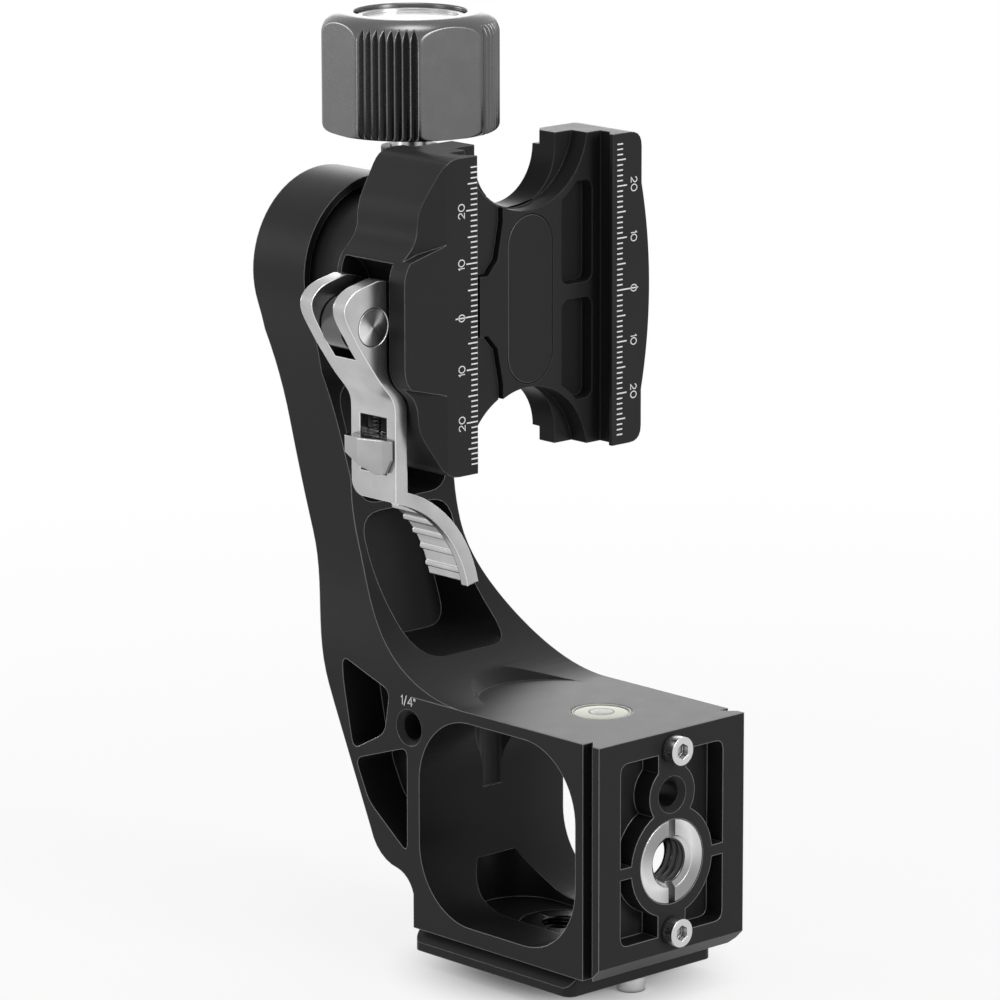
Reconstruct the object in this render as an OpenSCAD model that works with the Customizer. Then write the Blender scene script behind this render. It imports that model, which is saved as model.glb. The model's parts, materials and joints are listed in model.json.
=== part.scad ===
// Gimbal tripod head: a hollow foot block on a curved arm carries a pivot
// housing, in which an axle turns about X with a quick release clamp on it.
// The origin is the mouth of the base thread, +X is the end face, +Z is up.

/* [Foot block] */
// Width of the foot block, across the head
foot_w = 38; // [36:0.5:42]
// Height of the platform above the base
platform_h = 50; // [48:0.5:56]
// Reach of the end face ahead of the base thread
end_reach = 29.75; // [29:0.25:33]
// Reach of the block behind the base thread
back_reach = 21.5; // [20.5:0.5:24]
// Thickness of the platform above the window
platform_t = 2.2; // [1.8:0.1:3.4]
// Height of the window floor above the base
floor_h = 7.6; // [7.2:0.1:9]
// Thickness of the end wall
end_wall_t = 6.35; // [6:0.05:8]
// Thickness of the wall behind the window
back_wall_t = 1.8; // [1.6:0.1:3]
// Corner radius of the window
window_r = 14; // [10:1:16]
// Radius of the clearance notches in the wall behind the window
notch_r = 8.7; // [8.3:0.1:9.5]
// Depth of the channel in the window floor
channel_d = 1.4; // [1:0.1:2]
// Radius of the scoop in the hollow, at the platform
scoop_r = 13.2; // [11:0.2:15]
// Outward slope of the scoop's wall, over its height
scoop_flare = 6.9; // [4:0.1:9]

/* [Dovetails] */
// Length of the base dovetail
base_len = 43.6; // [42:0.2:46]
// Thickness of the dovetail lips
lip_t = 1.7; // [1.4:0.1:2]
// Depth of the dovetail grooves
groove_d = 2.4; // [1.8:0.1:2.6]
// Width of the flat at the bottom of the grooves
groove_flat = 0.2; // [0.2:0.1:0.6]
// Corner radius of the base dovetail, in plan
base_corner_r = 2; // [1:0.5:4]

/* [Threads] */
// Radius inside the 3/8 inch threads
thread_large_r = 4; // [3.9:0.05:4.1]
// Radius inside the 1/4 inch threads
thread_small_r = 2.55; // [2.5:0.05:2.7]
// Countersink of the threads
thread_sink = 1.06; // [0.6:0.02:1.2]
// Radius of the threaded bushings
bushing_r = 8.2; // [7.5:0.1:8.2]
// Width of the bushings' driver slots
driver_slot_w = 1.7; // [1.2:0.1:2]
// Depth of the bushings' driver slots
driver_slot_d = 1.5; // [1:0.1:2]
// Depth of the side thread
side_thread_d = 8; // [6:0.5:9]

/* [End face] */
// Height of the end bushing above the base
end_bushing_h = 24.6; // [24:0.2:25.6]
// Height of the small end thread above the base
end_small_h = 37.6; // [37.4:0.1:38.2]
// Height of the lower stop screw above the base
end_screw_low_h = 11.2; // [11:0.1:11.4]
// Distance of the upper stop screw below the platform
end_screw_drop = 3.5; // [3.2:0.1:3.8]
// Depth of the end pockets
end_pocket_d = 4.2; // [2:0.1:4.6]
// Rim left at the sides of the end pockets
end_rim_side = 5.6; // [4.4:0.1:6.5]
// Rim left above the end pockets
end_rim_top = 4.2; // [3.6:0.1:5]
// Height of the end pockets' lower edge
end_rim_low = 10.5; // [9.5:0.1:11]
// Radius of the boss round the end bushing
end_boss_r = 10.6; // [9.8:0.1:11]
// Radius of the boss round the small end thread
small_boss_r = 5.9; // [4.6:0.1:6.4]
// Width of the upright web of the end face
end_web_w = 7.2; // [5:0.2:8]
// Width of the level ribs of the end face
end_rib_w = 2.2; // [1.6:0.1:3]

/* [Arm] */
// Height of the tilt axis above the base
axis_h = 126.5; // [125:0.5:134]
// Width of the arm's neck
neck_w = 26.8; // [25:0.4:29]
// Radius of the hollow between the arm and the platform
bowl_r = 38; // [36:0.5:38.5]
// Distance of the hollow's centre behind the base thread
bowl_back = 7; // [6:0.5:8]
// Radius of the arm's curved back
back_curve_r = 400; // [300:10:600]
// Distance from the tilt axis down to the start of the curved back
back_top_drop = 12; // [10:0.5:14]
// Reach of the elbow behind the base thread
elbow_reach = 44; // [43:0.5:47]
// Height of the elbow above the base
elbow_h = 44.5; // [43:0.5:46]
// Reach of the heel behind the base thread
heel_reach = 33.6; // [32:0.2:35]
// Height of the heel above the base
heel_h = 21.5; // [20:0.5:23]
// Radius of the heel
heel_r = 9; // [7:0.5:14]
// Height above the base where the arm leaves the block
arm_foot_h = 11; // [10:0.5:12]
// Radius of the fillet under the heel
crook_r = 6; // [5:0.5:10]
// Wall behind the arm's pockets
arm_wall = 3.2; // [2.4:0.1:4]
// Wall beside the arm's pockets
pocket_side_wall = 1.8; // [1.4:0.1:3]
// Rib between the two front pockets
pocket_rib = 1.7; // [1.2:0.1:3]
// Height of the lower front pocket's upper edge above the base
pocket_split_h = 80.8; // [78:0.2:84]
// Distance of the lower front pocket's lower edge above the platform
pocket_rise = 5.1; // [5:0.1:8]
// Depth of the side pockets
side_pocket_d = 9; // [5:0.5:9]
// Radius of the shoulder where the neck widens into the drum
shoulder_r = 70; // [50:5:90]

/* [Pivot] */
// Radius of the drum
drum_r = 18.5; // [18:0.1:19.5]
// Depth of the drum
drum_len = 15; // [14:0.5:18]
// Reach of the drum's back face behind the base thread
drum_reach = 67.3; // [66.5:0.1:69]
// Thickness of the drum's back wall
drum_wall = 3; // [2.5:0.1:4]
// Radius of the pivot housing
housing_r = 16; // [15.5:0.1:16.3]
// Width of the groove round the housing
ring_groove_w = 1; // [0.6:0.1:1.2]
// Depth of the groove round the housing
ring_groove_d = 2; // [1:0.5:4]
// Radius of the axle
axle_r = 8; // [7.5:0.1:8.5]
// Thickness of the bushes
bush_t = 2; // [1.5:0.1:2.2]
// Length of the bushes
bush_len = 9; // [7:0.5:10]
// Radius of the axle's threaded end
axle_end_r = 4; // [3.5:0.1:5]
// Thickness of the washers
washer_t = 1.1; // [0.8:0.1:1.5]
// Thickness of the axle nut
axle_nut_t = 3.8; // [3:0.1:3.8]
// Thickness of the thrust washer
thrust_t = 0.45; // [0.3:0.05:0.8]
// Radius of the axle's flange
flange_r = 13; // [12.6:0.1:13.5]
// Thickness of the axle's flange
flange_t = 3.9; // [3.6:0.1:4.5]

/* [Lock knob] */
// Distance of the knob's axis behind the base thread
knob_reach = 42; // [41:0.5:42.5]
// Radius of the knob
knob_r = 17; // [15:0.1:17.5]
// Height of the knob
knob_h = 22.7; // [20:0.1:26]
// Height of the knob's underside above the tilt axis
knob_rise = 28.5; // [28:0.1:32]
// Height of the knob's crown
crown_h = 3.7; // [3:0.1:5]
// Radius of the recess in the knob's top
recess_r = 10.8; // [9:0.1:11]
// Depth of the recess in the knob's top
recess_d = 2; // [1.6:0.1:3]
// Radius of the knob's stud
stud_r = 4; // [3.5:0.1:4.2]
// Depth of the knob's grip grooves
grip_d = 1.1; // [0.6:0.1:1.5]
// Angle between two grip grooves
grip_step = 5.2; // [4.6:0.1:6]
// Depth of the flats between the groups of grooves
flat_d = 1.4; // [0.9:0.1:1.6]

/* [Clamp] */
// Distance of the clamp's face behind the base thread
face_back = 3.5; // [3:0.1:4.5]
// Depth of the clamp's bed below its face
bed_d = 5.3; // [5:0.1:6]
// Thickness of the clamp base behind the bed
base_t = 10.4; // [10:0.1:11]
// Length of the jaws
jaw_len = 60; // [58:1:70]
// Distance from the tilt axis to the fixed jaw's lip
fixed_lip = 16.4; // [15.9:0.1:17]
// Distance from the tilt axis to the moving jaw's lip
moving_lip = 18.35; // [17.8:0.05:18.6]
// Depth of the undercut behind the lips
undercut = 1.9; // [1.4:0.1:2.2]
// Thickness of the lips' edges
lip_edge = 0.9; // [0.5:0.1:1.2]
// Distance from the tilt axis to the fixed jaw's side
fixed_side = 24.1; // [23.5:0.1:25]
// Bulge of the fixed jaw's side
fixed_bulge = 2.1; // [1:0.1:3]
// Radius of the scallops in the clamp's ends
scallop_r = 15.4; // [15:0.1:15.8]
// Distance from the tilt axis to the scallops' centres
scallop_h = 32.3; // [32.1:0.1:33]
// Depth of the scallops below the bed
scallop_d = 4.2; // [3:0.1:5]
// Half width of the slots through the clamp's ends
slot_r = 10.3; // [10:0.1:10.6]
// Distance from the tilt axis to the centres of the slots' round ends
slot_h = 27.3; // [27:0.1:28]
// Width of the pad in the bed
pad_w = 11.5; // [10.5:0.1:11.5]
// Length of the pad in the bed
pad_len = 32.3; // [30:0.1:32.3]
// Thickness of the pad
pad_t = 1.5; // [1:0.1:1.8]

/* [Moving jaw] */
// Distance from the tilt axis to the face of the moving jaw's side
jaw_side = 31.5; // [31.2:0.1:32]
// Distance from the tilt axis to the top of the moving jaw's facet
jaw_facet = 26; // [25:0.1:27]
// Depth of the facet
facet_d = 2.1; // [1:0.1:3]
// Depth of the moving jaw's floor below the bed
jaw_floor_d = 1; // [0.4:0.1:1.4]
// Distance from the tilt axis to the flange that hides the cam
jaw_flange = 36.6; // [36:0.1:37.4]
// Half height of the flange
flange_half = 10.7; // [10:0.1:11]
// Half height of the flange's foot
flange_foot = 15; // [14.5:0.1:17]
// Half height of the jaw's straight side
side_half = 20.5; // [19.5:0.5:23]
// Depth of the moving jaw, face to back
jaw_depth = 18.6; // [18.4:0.1:19.4]
// Half height of the cam pocket
cam_pocket_half = 11.4; // [11:0.1:11.6]
// Radius of the guide pins
guide_r = 2; // [1.6:0.1:2.1]
// Distance from the tilt axis to the guide pins
guide_h = 13; // [12.5:0.1:13.3]
// Radius of the draw rod
rod_r = 2.6; // [2:0.1:2.6]
// Jaw travel that a quarter turn of the cam gives
jaw_travel = 1.9; // [1.5:0.1:2]

/* [Cam lever] */
// Distance from the tilt axis to the lever's pin
pin_reach = 40.1; // [39.9:0.1:40.6]
// Radius of the lever's pin
lever_pin_r = 3.6; // [3.2:0.1:3.7]
// Reach of the cam at rest
cam_r = 10.4; // [10.2:0.1:10.4]
// Width of the lever
lever_w = 12.3; // [11.5:0.1:12.6]
// Thickness of the lever's ears
ear_t = 3.2; // [2.8:0.1:3.3]
// Depth of the lever's front below the clamp's face
lever_back = 4.7; // [4.5:0.1:4.9]
// Thickness of the lever's strap
strap_t = 2.9; // [2.4:0.1:3]
// Thickness of the lever's finger tab
tab_t = 2.7; // [2:0.1:3.2]
// Radius of the finger tab's hollow
tab_r = 24.2; // [22:0.2:26]
// Travel of the safety latch
latch_travel = 3.1; // [2:0.1:3.3]
// Depth of the finger tab's ribbed hollow below its rim
hollow_d = 1.4; // [0.8:0.1:1.6]
// Width of the finger tab's rim
rim_w = 1.8; // [1.2:0.1:2.4]

/* [Small parts] */
// Radius of the bubble level
level_r = 6; // [5.4:0.1:6.4]
// Depth of the bubble level
level_d = 5.7; // [5:0.1:6]
// Distance of the bubble level ahead of the base thread
level_reach = 10.7; // [9:0.1:12]
// Radius of the stop screws
stop_r = 1.5; // [1.2:0.1:1.6]
// Radius of the stop screws' heads
stop_head_r = 2.75; // [2.4:0.05:3]
// Height of the stop screws' heads
stop_head_h = 2.85; // [2:0.05:3]
// Distance from the base thread to the stop screws under the base
base_stop_reach = 18.9; // [18:0.1:19]

/* [Hidden] */
$fn = 64;

// Clearances: a running fit, a free gap between moving pieces, and the
// overrun by which a cut passes the face that it opens
run = 0.05;
gap = 0.3;
over = 1;
half = 1 / 2;

// Colours
black_anodised = "#1d1d1f";
machined_black = "#26272a";
satin_steel = "#b9babc";
dark_alloy = "#5b5c60";
bronze = "#a07c46";

// The block
block_foot = lip_t + groove_d + groove_flat;
window_back = -back_reach + back_wall_t;
window_front = end_reach - end_wall_t;
window_top = platform_h - platform_t;
channel_h = floor_h - channel_d;
notch_wall_cut = 0.4;
notch_x = window_back - notch_wall_cut + notch_r;
notch_low_h = 16;
notch_high_h = 29.5;
end_chamfer = 2.8;
scoop_shift = 2.9;
scoop_x = scoop_shift - bowl_back;
scoop_h = 5;
side_thread_back = 1;
side_thread_drop = 6.2;
side_thread_x = -back_reach - side_thread_back;
side_thread_h = platform_h - side_thread_drop;
pocket_corner_r = 2;

// The arm
drum_front = drum_len - drum_reach;
bowl_x = -bowl_back;
bowl_z = platform_h + bowl_r;
back_top = [-drum_reach, axis_h - back_top_drop];
elbow = [-elbow_reach, elbow_h];
heel = [-heel_reach, heel_h];
crook_reach = 26;
crook_h = 15.2;
crook = [-crook_reach, crook_h];
flare_drop = 2;
flare_rise = 26;
flare_steps = 12;
front_pocket_w = neck_w - pocket_side_wall - pocket_side_wall;
front_pocket_r = 5;
upper_pocket_top = axis_h - drum_r - ring_groove_w - pocket_rib;

// The planes of the clamp
face_x = -face_back;
bed_x = face_x - bed_d;
clamp_back = bed_x - base_t;

// The pivot
housing_front = clamp_back - flange_t - thrust_t - run;
housing_back = drum_wall - drum_reach;
washer_room = 5.3;
axle_shoulder = housing_back + washer_room;
nut_bore_r = 11.5;
cap_r = 12;
cap_t = 2;
boss_r = 5.8;
boss_rise = 25.3;
knob_x = -knob_reach;
knob_z = axis_h + knob_rise;
shoe_h = 6;
shoe_z = axis_h + axle_r;
knob_seat_d = 15;

// The clamp
jaw_half = jaw_len * half;
jaw_back = face_x - jaw_depth;
lever_x = face_x - lever_back - lever_w * half;
pad_floor = bed_x - pad_t;
seam = 7;
seam_step = 8.4;
tongue_half = 5.7;
tongue_reach = 12.9;
cam_gap = gap;
cam_floor = pin_reach - cam_r - cam_gap;
strap_gap = 0.4;
strap_in = jaw_side + strap_gap;
strap_out = strap_in + strap_t;
clamp_screw_h = 8;
clamp_screw_y = 1.5;
clamp_screw_r = 2;
clamp_head_r = 3.5;
clamp_head_h = 2.8;

// Points along an arc from a to b; the centre lies to the left of the way
// from a to b when the radius is positive, and to the right when negative
function bow(a, b, r, n = 10) =
  let (
    way = b - a,
    span = norm(way),
    side = sign(r),
    rise = sqrt(r * r - span * span * half * half),
    centre = (a + b) * half + side * rise * [-way.y, way.x] / span,
    turn = side * (asin(span * half / abs(r)) / half),
    arm = a - centre
  )
  [for (k = [0:n]) let (t = turn * k / n)
    centre + [arm.x * cos(t) - arm.y * sin(t), arm.x * sin(t) + arm.y * cos(t)]];

// The points of an outline with each corner rounded over the length r
function eased(points, r, n = 5) =
  let (count = len(points))
  [for (i = [0:count - 1])
    let (
      p = points[i],
      before = points[(i + count - 1) % count] - p,
      after = points[(i + 1) % count] - p,
      a = before * min(r / norm(before), half),
      b = after * min(r / norm(after), half)
    )
    for (k = [0:n]) let (t = k / n) p + a * pow(1 - t, 2) + b * pow(t, 2)];

// The same along an open way, whose two ends stay
function eased_way(points, r, n = 5) =
  let (all = eased(points, r, n), last = len(points) - 1)
  concat([points[0]], [for (i = [n + 1:last * (n + 1) - 1]) all[i]], [points[last]]);

// A box from its low corner to its high corner
module block(low, high) {
  translate(low) cube(high - low);
}

// Extrudes a Y and Z outline, measured from the tilt axis, along X
module along_x(x0, x1, z = axis_h) {
  translate([x0, 0, z])
    rotate([90, 0, 90])
      linear_extrude(x1 - x0) children();
}

// Extrudes an X and Z outline along Y
module along_y(y0, y1) {
  translate([0, y1, 0])
    rotate([90, 0, 0])
      linear_extrude(y1 - y0) children();
}

// A cylinder along X
module rod_x(r, x0, x1, y = 0, z = axis_h) {
  translate([x0, y, z]) rotate([0, 90, 0]) cylinder(h = x1 - x0, r = r);
}

// A cylinder along Y
module rod_y(r, x, y0, y1, z = axis_h) {
  translate([x, y0, z]) rotate([-90, 0, 0]) cylinder(h = y1 - y0, r = r);
}

// A cylinder along Z
module rod_z(r, x, z0, z1, y = 0) {
  translate([x, y, z0]) cylinder(h = z1 - z0, r = r);
}

// A rectangle with round corners, as a union of exact shapes
module round_rect(low, high, r) {
  translate([low.x + r, low.y]) square([high.x - low.x - r - r, high.y - low.y]);
  translate([low.x, low.y + r]) square([high.x - low.x, high.y - low.y - r - r]);
  for (x = [low.x + r, high.x - r], y = [low.y + r, high.y - r])
    translate([x, y]) circle(r = r);
}

// A threaded hole's bore with its countersink, along +Z from its mouth down
module thread_bore(r, depth, sink = thread_sink) {
  translate([0, 0, -depth]) cylinder(h = depth + over, r = r);
  if (sink > 0) {
    translate([0, 0, -sink]) cylinder(h = sink, r1 = r, r2 = r + sink);
    cylinder(h = over, r = r + sink);
  }
}

// The arm's side outline, from the drum down the back, under the heel and
// up the hollow's side
side_outline = concat(
  [[-drum_reach, axis_h]],
  bow(back_top, elbow, back_curve_r, 16),
  bow(heel, crook, heel_r, 6),
  bow(crook, [-back_reach, arm_foot_h], -crook_r, 6),
  [
    [bowl_x, arm_foot_h],
    [bowl_x, bowl_z],
    [bowl_x - bowl_r, bowl_z],
    [drum_front, axis_h - drum_r],
    [drum_front, axis_h]
  ]
);

// The half outline of the arm seen from the front, from the base up
neck_half = neck_w * half;
shoulder_drop = sqrt(pow(drum_r + shoulder_r, 2) - pow(neck_half + shoulder_r, 2));
shoulder_share = drum_r / (drum_r + shoulder_r);
shoulder_top = [
  (neck_half + shoulder_r) * shoulder_share,
  axis_h - shoulder_drop * shoulder_share
];
front_outline = concat(
  [[foot_w * half, 0]],
  [for (k = [0:flare_steps]) let (t = k / flare_steps) [
    neck_half + (foot_w * half - neck_half) * (1 + cos(180 * t)) * half,
    platform_h - flare_drop + (flare_drop + flare_rise) * t
  ]],
  bow([neck_half, axis_h - shoulder_drop], shoulder_top, -shoulder_r, 8),
  [[shoulder_top.x, axis_h]]
);

// The solid of the arm, without its pockets
module arm_blank(shift = 0) {
  translate([shift, 0, 0])
    intersection() {
      along_y(-foot_w, foot_w) polygon(side_outline);
      along_x(-drum_reach, bowl_x, 0) {
        polygon(concat(front_outline, [[0, axis_h], [0, 0]]));
        mirror([1, 0]) polygon(concat(front_outline, [[0, axis_h], [0, 0]]));
      }
    }
}

// A pocket in the front of the neck, which follows the arm's back
module neck_pocket(z0, z1) {
  intersection() {
    along_x(-drum_reach, bowl_x, 0)
      polygon(eased([
        [-front_pocket_w * half, z0],
        [front_pocket_w * half, z0],
        [front_pocket_w * half, z1],
        [-front_pocket_w * half, z1]
      ], front_pocket_r));
    translate([arm_wall, 0, 0]) along_y(-foot_w, foot_w) polygon(side_outline);
  }
}

// The weight pockets in the arm's sides, as shares of the box from the
// elbow to the block and from the arm's foot to the platform
upper_pocket_shares = [[0.075, 1.11], [0.24, 0.655], [0.644, 0.777], [0.711, 1]];
lower_pocket_shares = [[0.267, 0.61], [0.436, 0.41], [0.924, 0.2], [0.929, 0.736]];

module side_pocket(shares) {
  size = [elbow_reach - back_reach, platform_h - arm_foot_h];
  points = [for (p = shares) [p.x * size.x - elbow_reach, p.y * size.y + arm_foot_h]];
  for (y = [-foot_w * half - over, foot_w * half - side_pocket_d])
    along_y(y, y + side_pocket_d + over) polygon(eased(points, pocket_corner_r));
}

// One side groove of a dovetail, with its flank at 45 degrees, for a lip
// whose outer face is the Y axis of the outline
module dovetail_groove(edge) {
  polygon([
    [lip_t, edge + over],
    [lip_t, edge],
    [lip_t + groove_d, edge - groove_d],
    [lip_t + groove_d + groove_flat, edge - groove_d],
    [lip_t + groove_d + groove_flat, edge + over]
  ]);
}

module base_dovetail() {
  edge = foot_w * half;
  intersection() {
    difference() {
      block([-base_len * half, -edge, 0], [base_len * half, edge, block_foot]);
      for (side = [0, 1])
        mirror([0, side, 0])
          translate([base_len, 0, 0])
            rotate([0, -90, 0])
              linear_extrude(base_len + base_len) dovetail_groove(edge);
    }
    linear_extrude(block_foot)
      round_rect([-base_len * half, -edge], [base_len * half, edge], base_corner_r);
  }
}

module foot_block() {
  edge = foot_w * half;
  difference() {
    block([-back_reach, -edge, block_foot], [end_reach, edge, platform_h]);
    // Grooves of the end dovetail
    for (side = [0, 1])
      mirror([0, side, 0])
        translate([end_reach, 0, 0])
          mirror([1, 0, 0])
            linear_extrude(platform_h + over) dovetail_groove(edge);
    // Chamfer under the end face
    along_y(-edge - over, edge + over)
      polygon([
        [end_reach + over, block_foot + end_chamfer + over],
        [end_reach + over, block_foot - over],
        [end_reach - end_chamfer - over, block_foot - over]
      ]);
  }
}

// The end face's pockets, round the two bosses, the web and the ribs
module end_pockets() {
  inner = foot_w * half - end_rim_side;
  difference() {
    polygon(eased([
      [-inner, end_rim_low],
      [inner, end_rim_low],
      [inner, platform_h - end_rim_top],
      [-inner, platform_h - end_rim_top]
    ], pocket_corner_r));
    translate([0, end_bushing_h]) circle(r = end_boss_r);
    translate([0, end_small_h]) circle(r = small_boss_r);
    translate([-end_web_w * half, 0]) square([end_web_w, platform_h]);
    translate([-inner - over, end_bushing_h - end_rib_w * half])
      square([inner + inner + over + over, end_rib_w]);
  }
}

module window_cut() {
  edge = foot_w * half + over;
  along_y(-edge, edge)
    round_rect([window_back, floor_h], [window_front, window_top], window_r);
  // Clearances for fitting the base bushing from inside
  rod_z(notch_r, notch_x, channel_h, notch_low_h);
  rod_z(notch_r, notch_x, notch_high_h, window_top);
  block([notch_x, -notch_r, channel_h], [window_front - window_r * half, notch_r, floor_h + over]);
}

module arm_frame() color(black_anodised) {
  level_floor = platform_h - level_d;
  difference() {
    union() {
      difference() {
        union() {
          base_dovetail();
          foot_block();
          arm_blank();
          rod_x(drum_r, -drum_reach, drum_front);
        }
        window_cut();
      }
      // Boss that holds the level under the platform
      rod_z(level_r + over, level_reach, level_floor - over, platform_h - platform_t * half);
    }
    // The hollow and its scoop
    rod_y(bowl_r, bowl_x, -foot_w, foot_w, bowl_z);
    translate([scoop_x, 0, platform_h])
      cylinder(h = scoop_h, r1 = scoop_r, r2 = scoop_r + scoop_flare);
    // Pockets
    neck_pocket(platform_h + pocket_rise, pocket_split_h);
    neck_pocket(pocket_split_h + pocket_rib, upper_pocket_top);
    side_pocket(upper_pocket_shares);
    side_pocket(lower_pocket_shares);
    along_x(end_reach - end_pocket_d, end_reach + over, 0) end_pockets();
    // Seats of the bushings, screws and the level
    rod_z(bushing_r, 0, -over, channel_h + over);
    rod_x(bushing_r, window_front - over, end_reach + over, 0, end_bushing_h);
    translate([end_reach, 0, end_small_h])
      rotate([0, 90, 0]) thread_bore(thread_small_r, end_wall_t + over);
    translate([side_thread_x, -foot_w * half, side_thread_h])
      rotate([90, 0, 0]) thread_bore(thread_small_r, side_thread_d);
    for (z = [end_screw_low_h, platform_h - end_screw_drop])
      rod_x(stop_r, end_reach - stop_seat, end_reach + over, 0, z);
    for (x = [-base_stop_reach, base_stop_reach])
      rod_z(stop_r, x, -over, stop_seat);
    rod_z(level_r, level_reach, level_floor, platform_h + over);
    // Bore of the drum, its ring groove and the hole for its cap
    rod_x(housing_r, housing_back, drum_front + over);
    rod_x(housing_r + ring_groove_w, drum_front - ring_groove_d, drum_front + over);
    rod_x(cap_r, -drum_reach - over, housing_back + over);
  }
}
stop_seat = 5.6;

module pivot_housing() color(black_anodised) {
  difference() {
    union() {
      rod_x(housing_r, housing_back, housing_front);
      rod_z(boss_r, knob_x, axis_h, axis_h + boss_rise);
    }
    rod_x(axle_r + bush_t, housing_back - over, housing_front + over);
    rod_x(nut_bore_r, housing_back - over, axle_shoulder + run);
    rod_z(stud_r + run, knob_x, axis_h, axis_h + boss_rise + over);
  }
}

// A plain bush between the housing and the axle
module bush(x0, x1) {
  difference() {
    rod_x(axle_r + bush_t, x0, x1);
    rod_x(axle_r + run, x0 - over, x1 + over);
  }
}

module front_bush() color(bronze) {
  bush(housing_front - bush_len, housing_front);
}

module rear_bush() color(bronze) {
  bush(axle_shoulder + run, axle_shoulder + run + bush_len);
}

module rear_cap() color(machined_black) {
  difference() {
    rod_x(cap_r, -drum_reach, cap_t - drum_reach);
    rod_x(cap_dish_r, -drum_reach - over, cap_t * half - drum_reach);
  }
}
cap_dish_r = 9;

module thrust_washer() color("#e4e2da") {
  difference() {
    rod_x(flange_r - gap, housing_front, housing_front + thrust_t);
    rod_x(axle_r + run, housing_front - over, housing_front + thrust_t + over);
  }
}

// A threaded bushing along Z, its slotted face at the origin looking up
module bushing(depth, sink) {
  difference() {
    translate([0, 0, -depth]) cylinder(h = depth, r = bushing_r);
    thread_bore(thread_large_r, depth + over, sink);
    block([-driver_slot_w * half, -bushing_r - over, -driver_slot_d],
      [driver_slot_w * half, bushing_r + over, over]);
  }
}

module base_bushing() color(satin_steel) {
  rotate([180, 0, 90]) bushing(channel_h, 0);
}

module end_bushing() color(satin_steel) {
  translate([end_reach, 0, end_bushing_h]) rotate([0, 90, 0]) rotate(90) bushing(end_wall_t, thread_sink);
}

// A socket head screw along Z, its head standing on the origin
module stop_screw() {
  translate([0, 0, -stop_seat]) cylinder(h = stop_seat, r = stop_r);
  difference() {
    cylinder(h = stop_head_h, r = stop_head_r);
    translate([0, 0, stop_head_h * half]) cylinder(h = stop_head_h, r = stop_r, $fn = 6);
  }
}

module end_stop_screws() color(satin_steel) {
  for (z = [end_screw_low_h, platform_h - end_screw_drop])
    translate([end_reach, 0, z]) rotate([0, 90, 0]) stop_screw();
}

module base_stop_screws() color(satin_steel) {
  for (x = [-base_stop_reach, base_stop_reach])
    translate([x, 0, 0]) rotate([180, 0, 0]) stop_screw();
}

module level_vial() color("#c9d6a0") {
  rod_z(level_r - level_wall, level_reach, platform_h - level_d + level_wall,
    platform_h - level_drop);
}
level_wall = 0.8;
level_drop = 0.2;

module level_sleeve() color(satin_steel) {
  difference() {
    rod_z(level_r, level_reach, platform_h - level_d, platform_h);
    rod_z(level_r - level_wall, level_reach, platform_h - level_d + level_wall,
      platform_h + over);
  }
}

// The shoe that the stud presses on the axle; it rises with the knob
module brake_shoe() color(bronze) {
  difference() {
    rod_z(stud_r, knob_x, shoe_z - shoe_h * half, shoe_z + shoe_h);
    rod_x(axle_r + run, knob_x - over - stud_r, knob_x + stud_r + over);
  }
}

module knob_stud() color(satin_steel) {
  rod_z(stud_r, knob_x, shoe_z + shoe_h, knob_z + knob_seat_d);
}

// Grip of the knob: four groups of grooves with a flat between each two
grip_groups = 4;
grip_grooves = 8;
grip_start = 32.2;
grip_turn = 360 / grip_groups;
flat_turn = 45;

module lock_knob() color(dark_alloy) {
  edge = 1;
  crown_r = recess_r + (knob_r - recess_r) * crown_share;
  translate([knob_x, 0, knob_z])
    difference() {
      rotate_extrude()
        polygon(concat(
          [[0, 0], [knob_r - edge, 0], [knob_r, edge]],
          bow([knob_r, knob_h - crown_h], [crown_r, knob_h], crown_bow, 8),
          [[recess_r, knob_h], [recess_r, knob_h - recess_d], [0, knob_h - recess_d]]
        ));
      translate([0, 0, -over]) cylinder(h = knob_seat_d + over, r = stud_r);
      for (group = [0:grip_groups - 1]) {
        for (k = [0:grip_grooves - 1])
          rotate(grip_start + group * grip_turn + (k - (grip_grooves - 1) * half) * grip_step)
            translate([knob_r, 0, -over])
              linear_extrude(knob_h - crown_h + over + grip_d)
                polygon([[-grip_d, 0], [over, -over * grip_share], [over, over * grip_share]]);
        rotate(grip_start + flat_turn + group * grip_turn)
          translate([knob_r - flat_d, -knob_r, -over])
            cube([knob_r, knob_r + knob_r, knob_h + over + over]);
      }
    }
}
crown_share = 0.3;
crown_bow = 9;
grip_share = 1.1;

module knob_cap() color(machined_black) {
  cap_edge = 0.4;
  top = knob_z + knob_h - recess_d;
  difference() {
    rod_z(recess_r - cap_edge, knob_x, top, top + cap_h);
    rod_z(recess_r - cap_edge - cap_h, knob_x, top + cap_h * half, top + cap_h + over);
  }
}
cap_h = 1.2;

module tilt_axle() color(satin_steel) {
  difference() {
    union() {
      rod_x(flange_r, clamp_back - flange_t, clamp_back);
      rod_x(axle_r, axle_shoulder, clamp_back - flange_t * half);
      rod_x(axle_end_r, housing_back + gap, axle_shoulder + over);
    }
    for (side = [-1, 1])
      rod_x(clamp_screw_r, clamp_back - clamp_screw_d, clamp_back + over,
        clamp_screw_y, axis_h + side * clamp_screw_h);
  }
}
clamp_screw_d = 3.4;

module axle_washer() color(satin_steel) {
  difference() {
    rod_x(nut_bore_r - over, axle_shoulder - washer_t, axle_shoulder);
    rod_x(axle_end_r, axle_shoulder - washer_t - over, axle_shoulder + over);
  }
}

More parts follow.
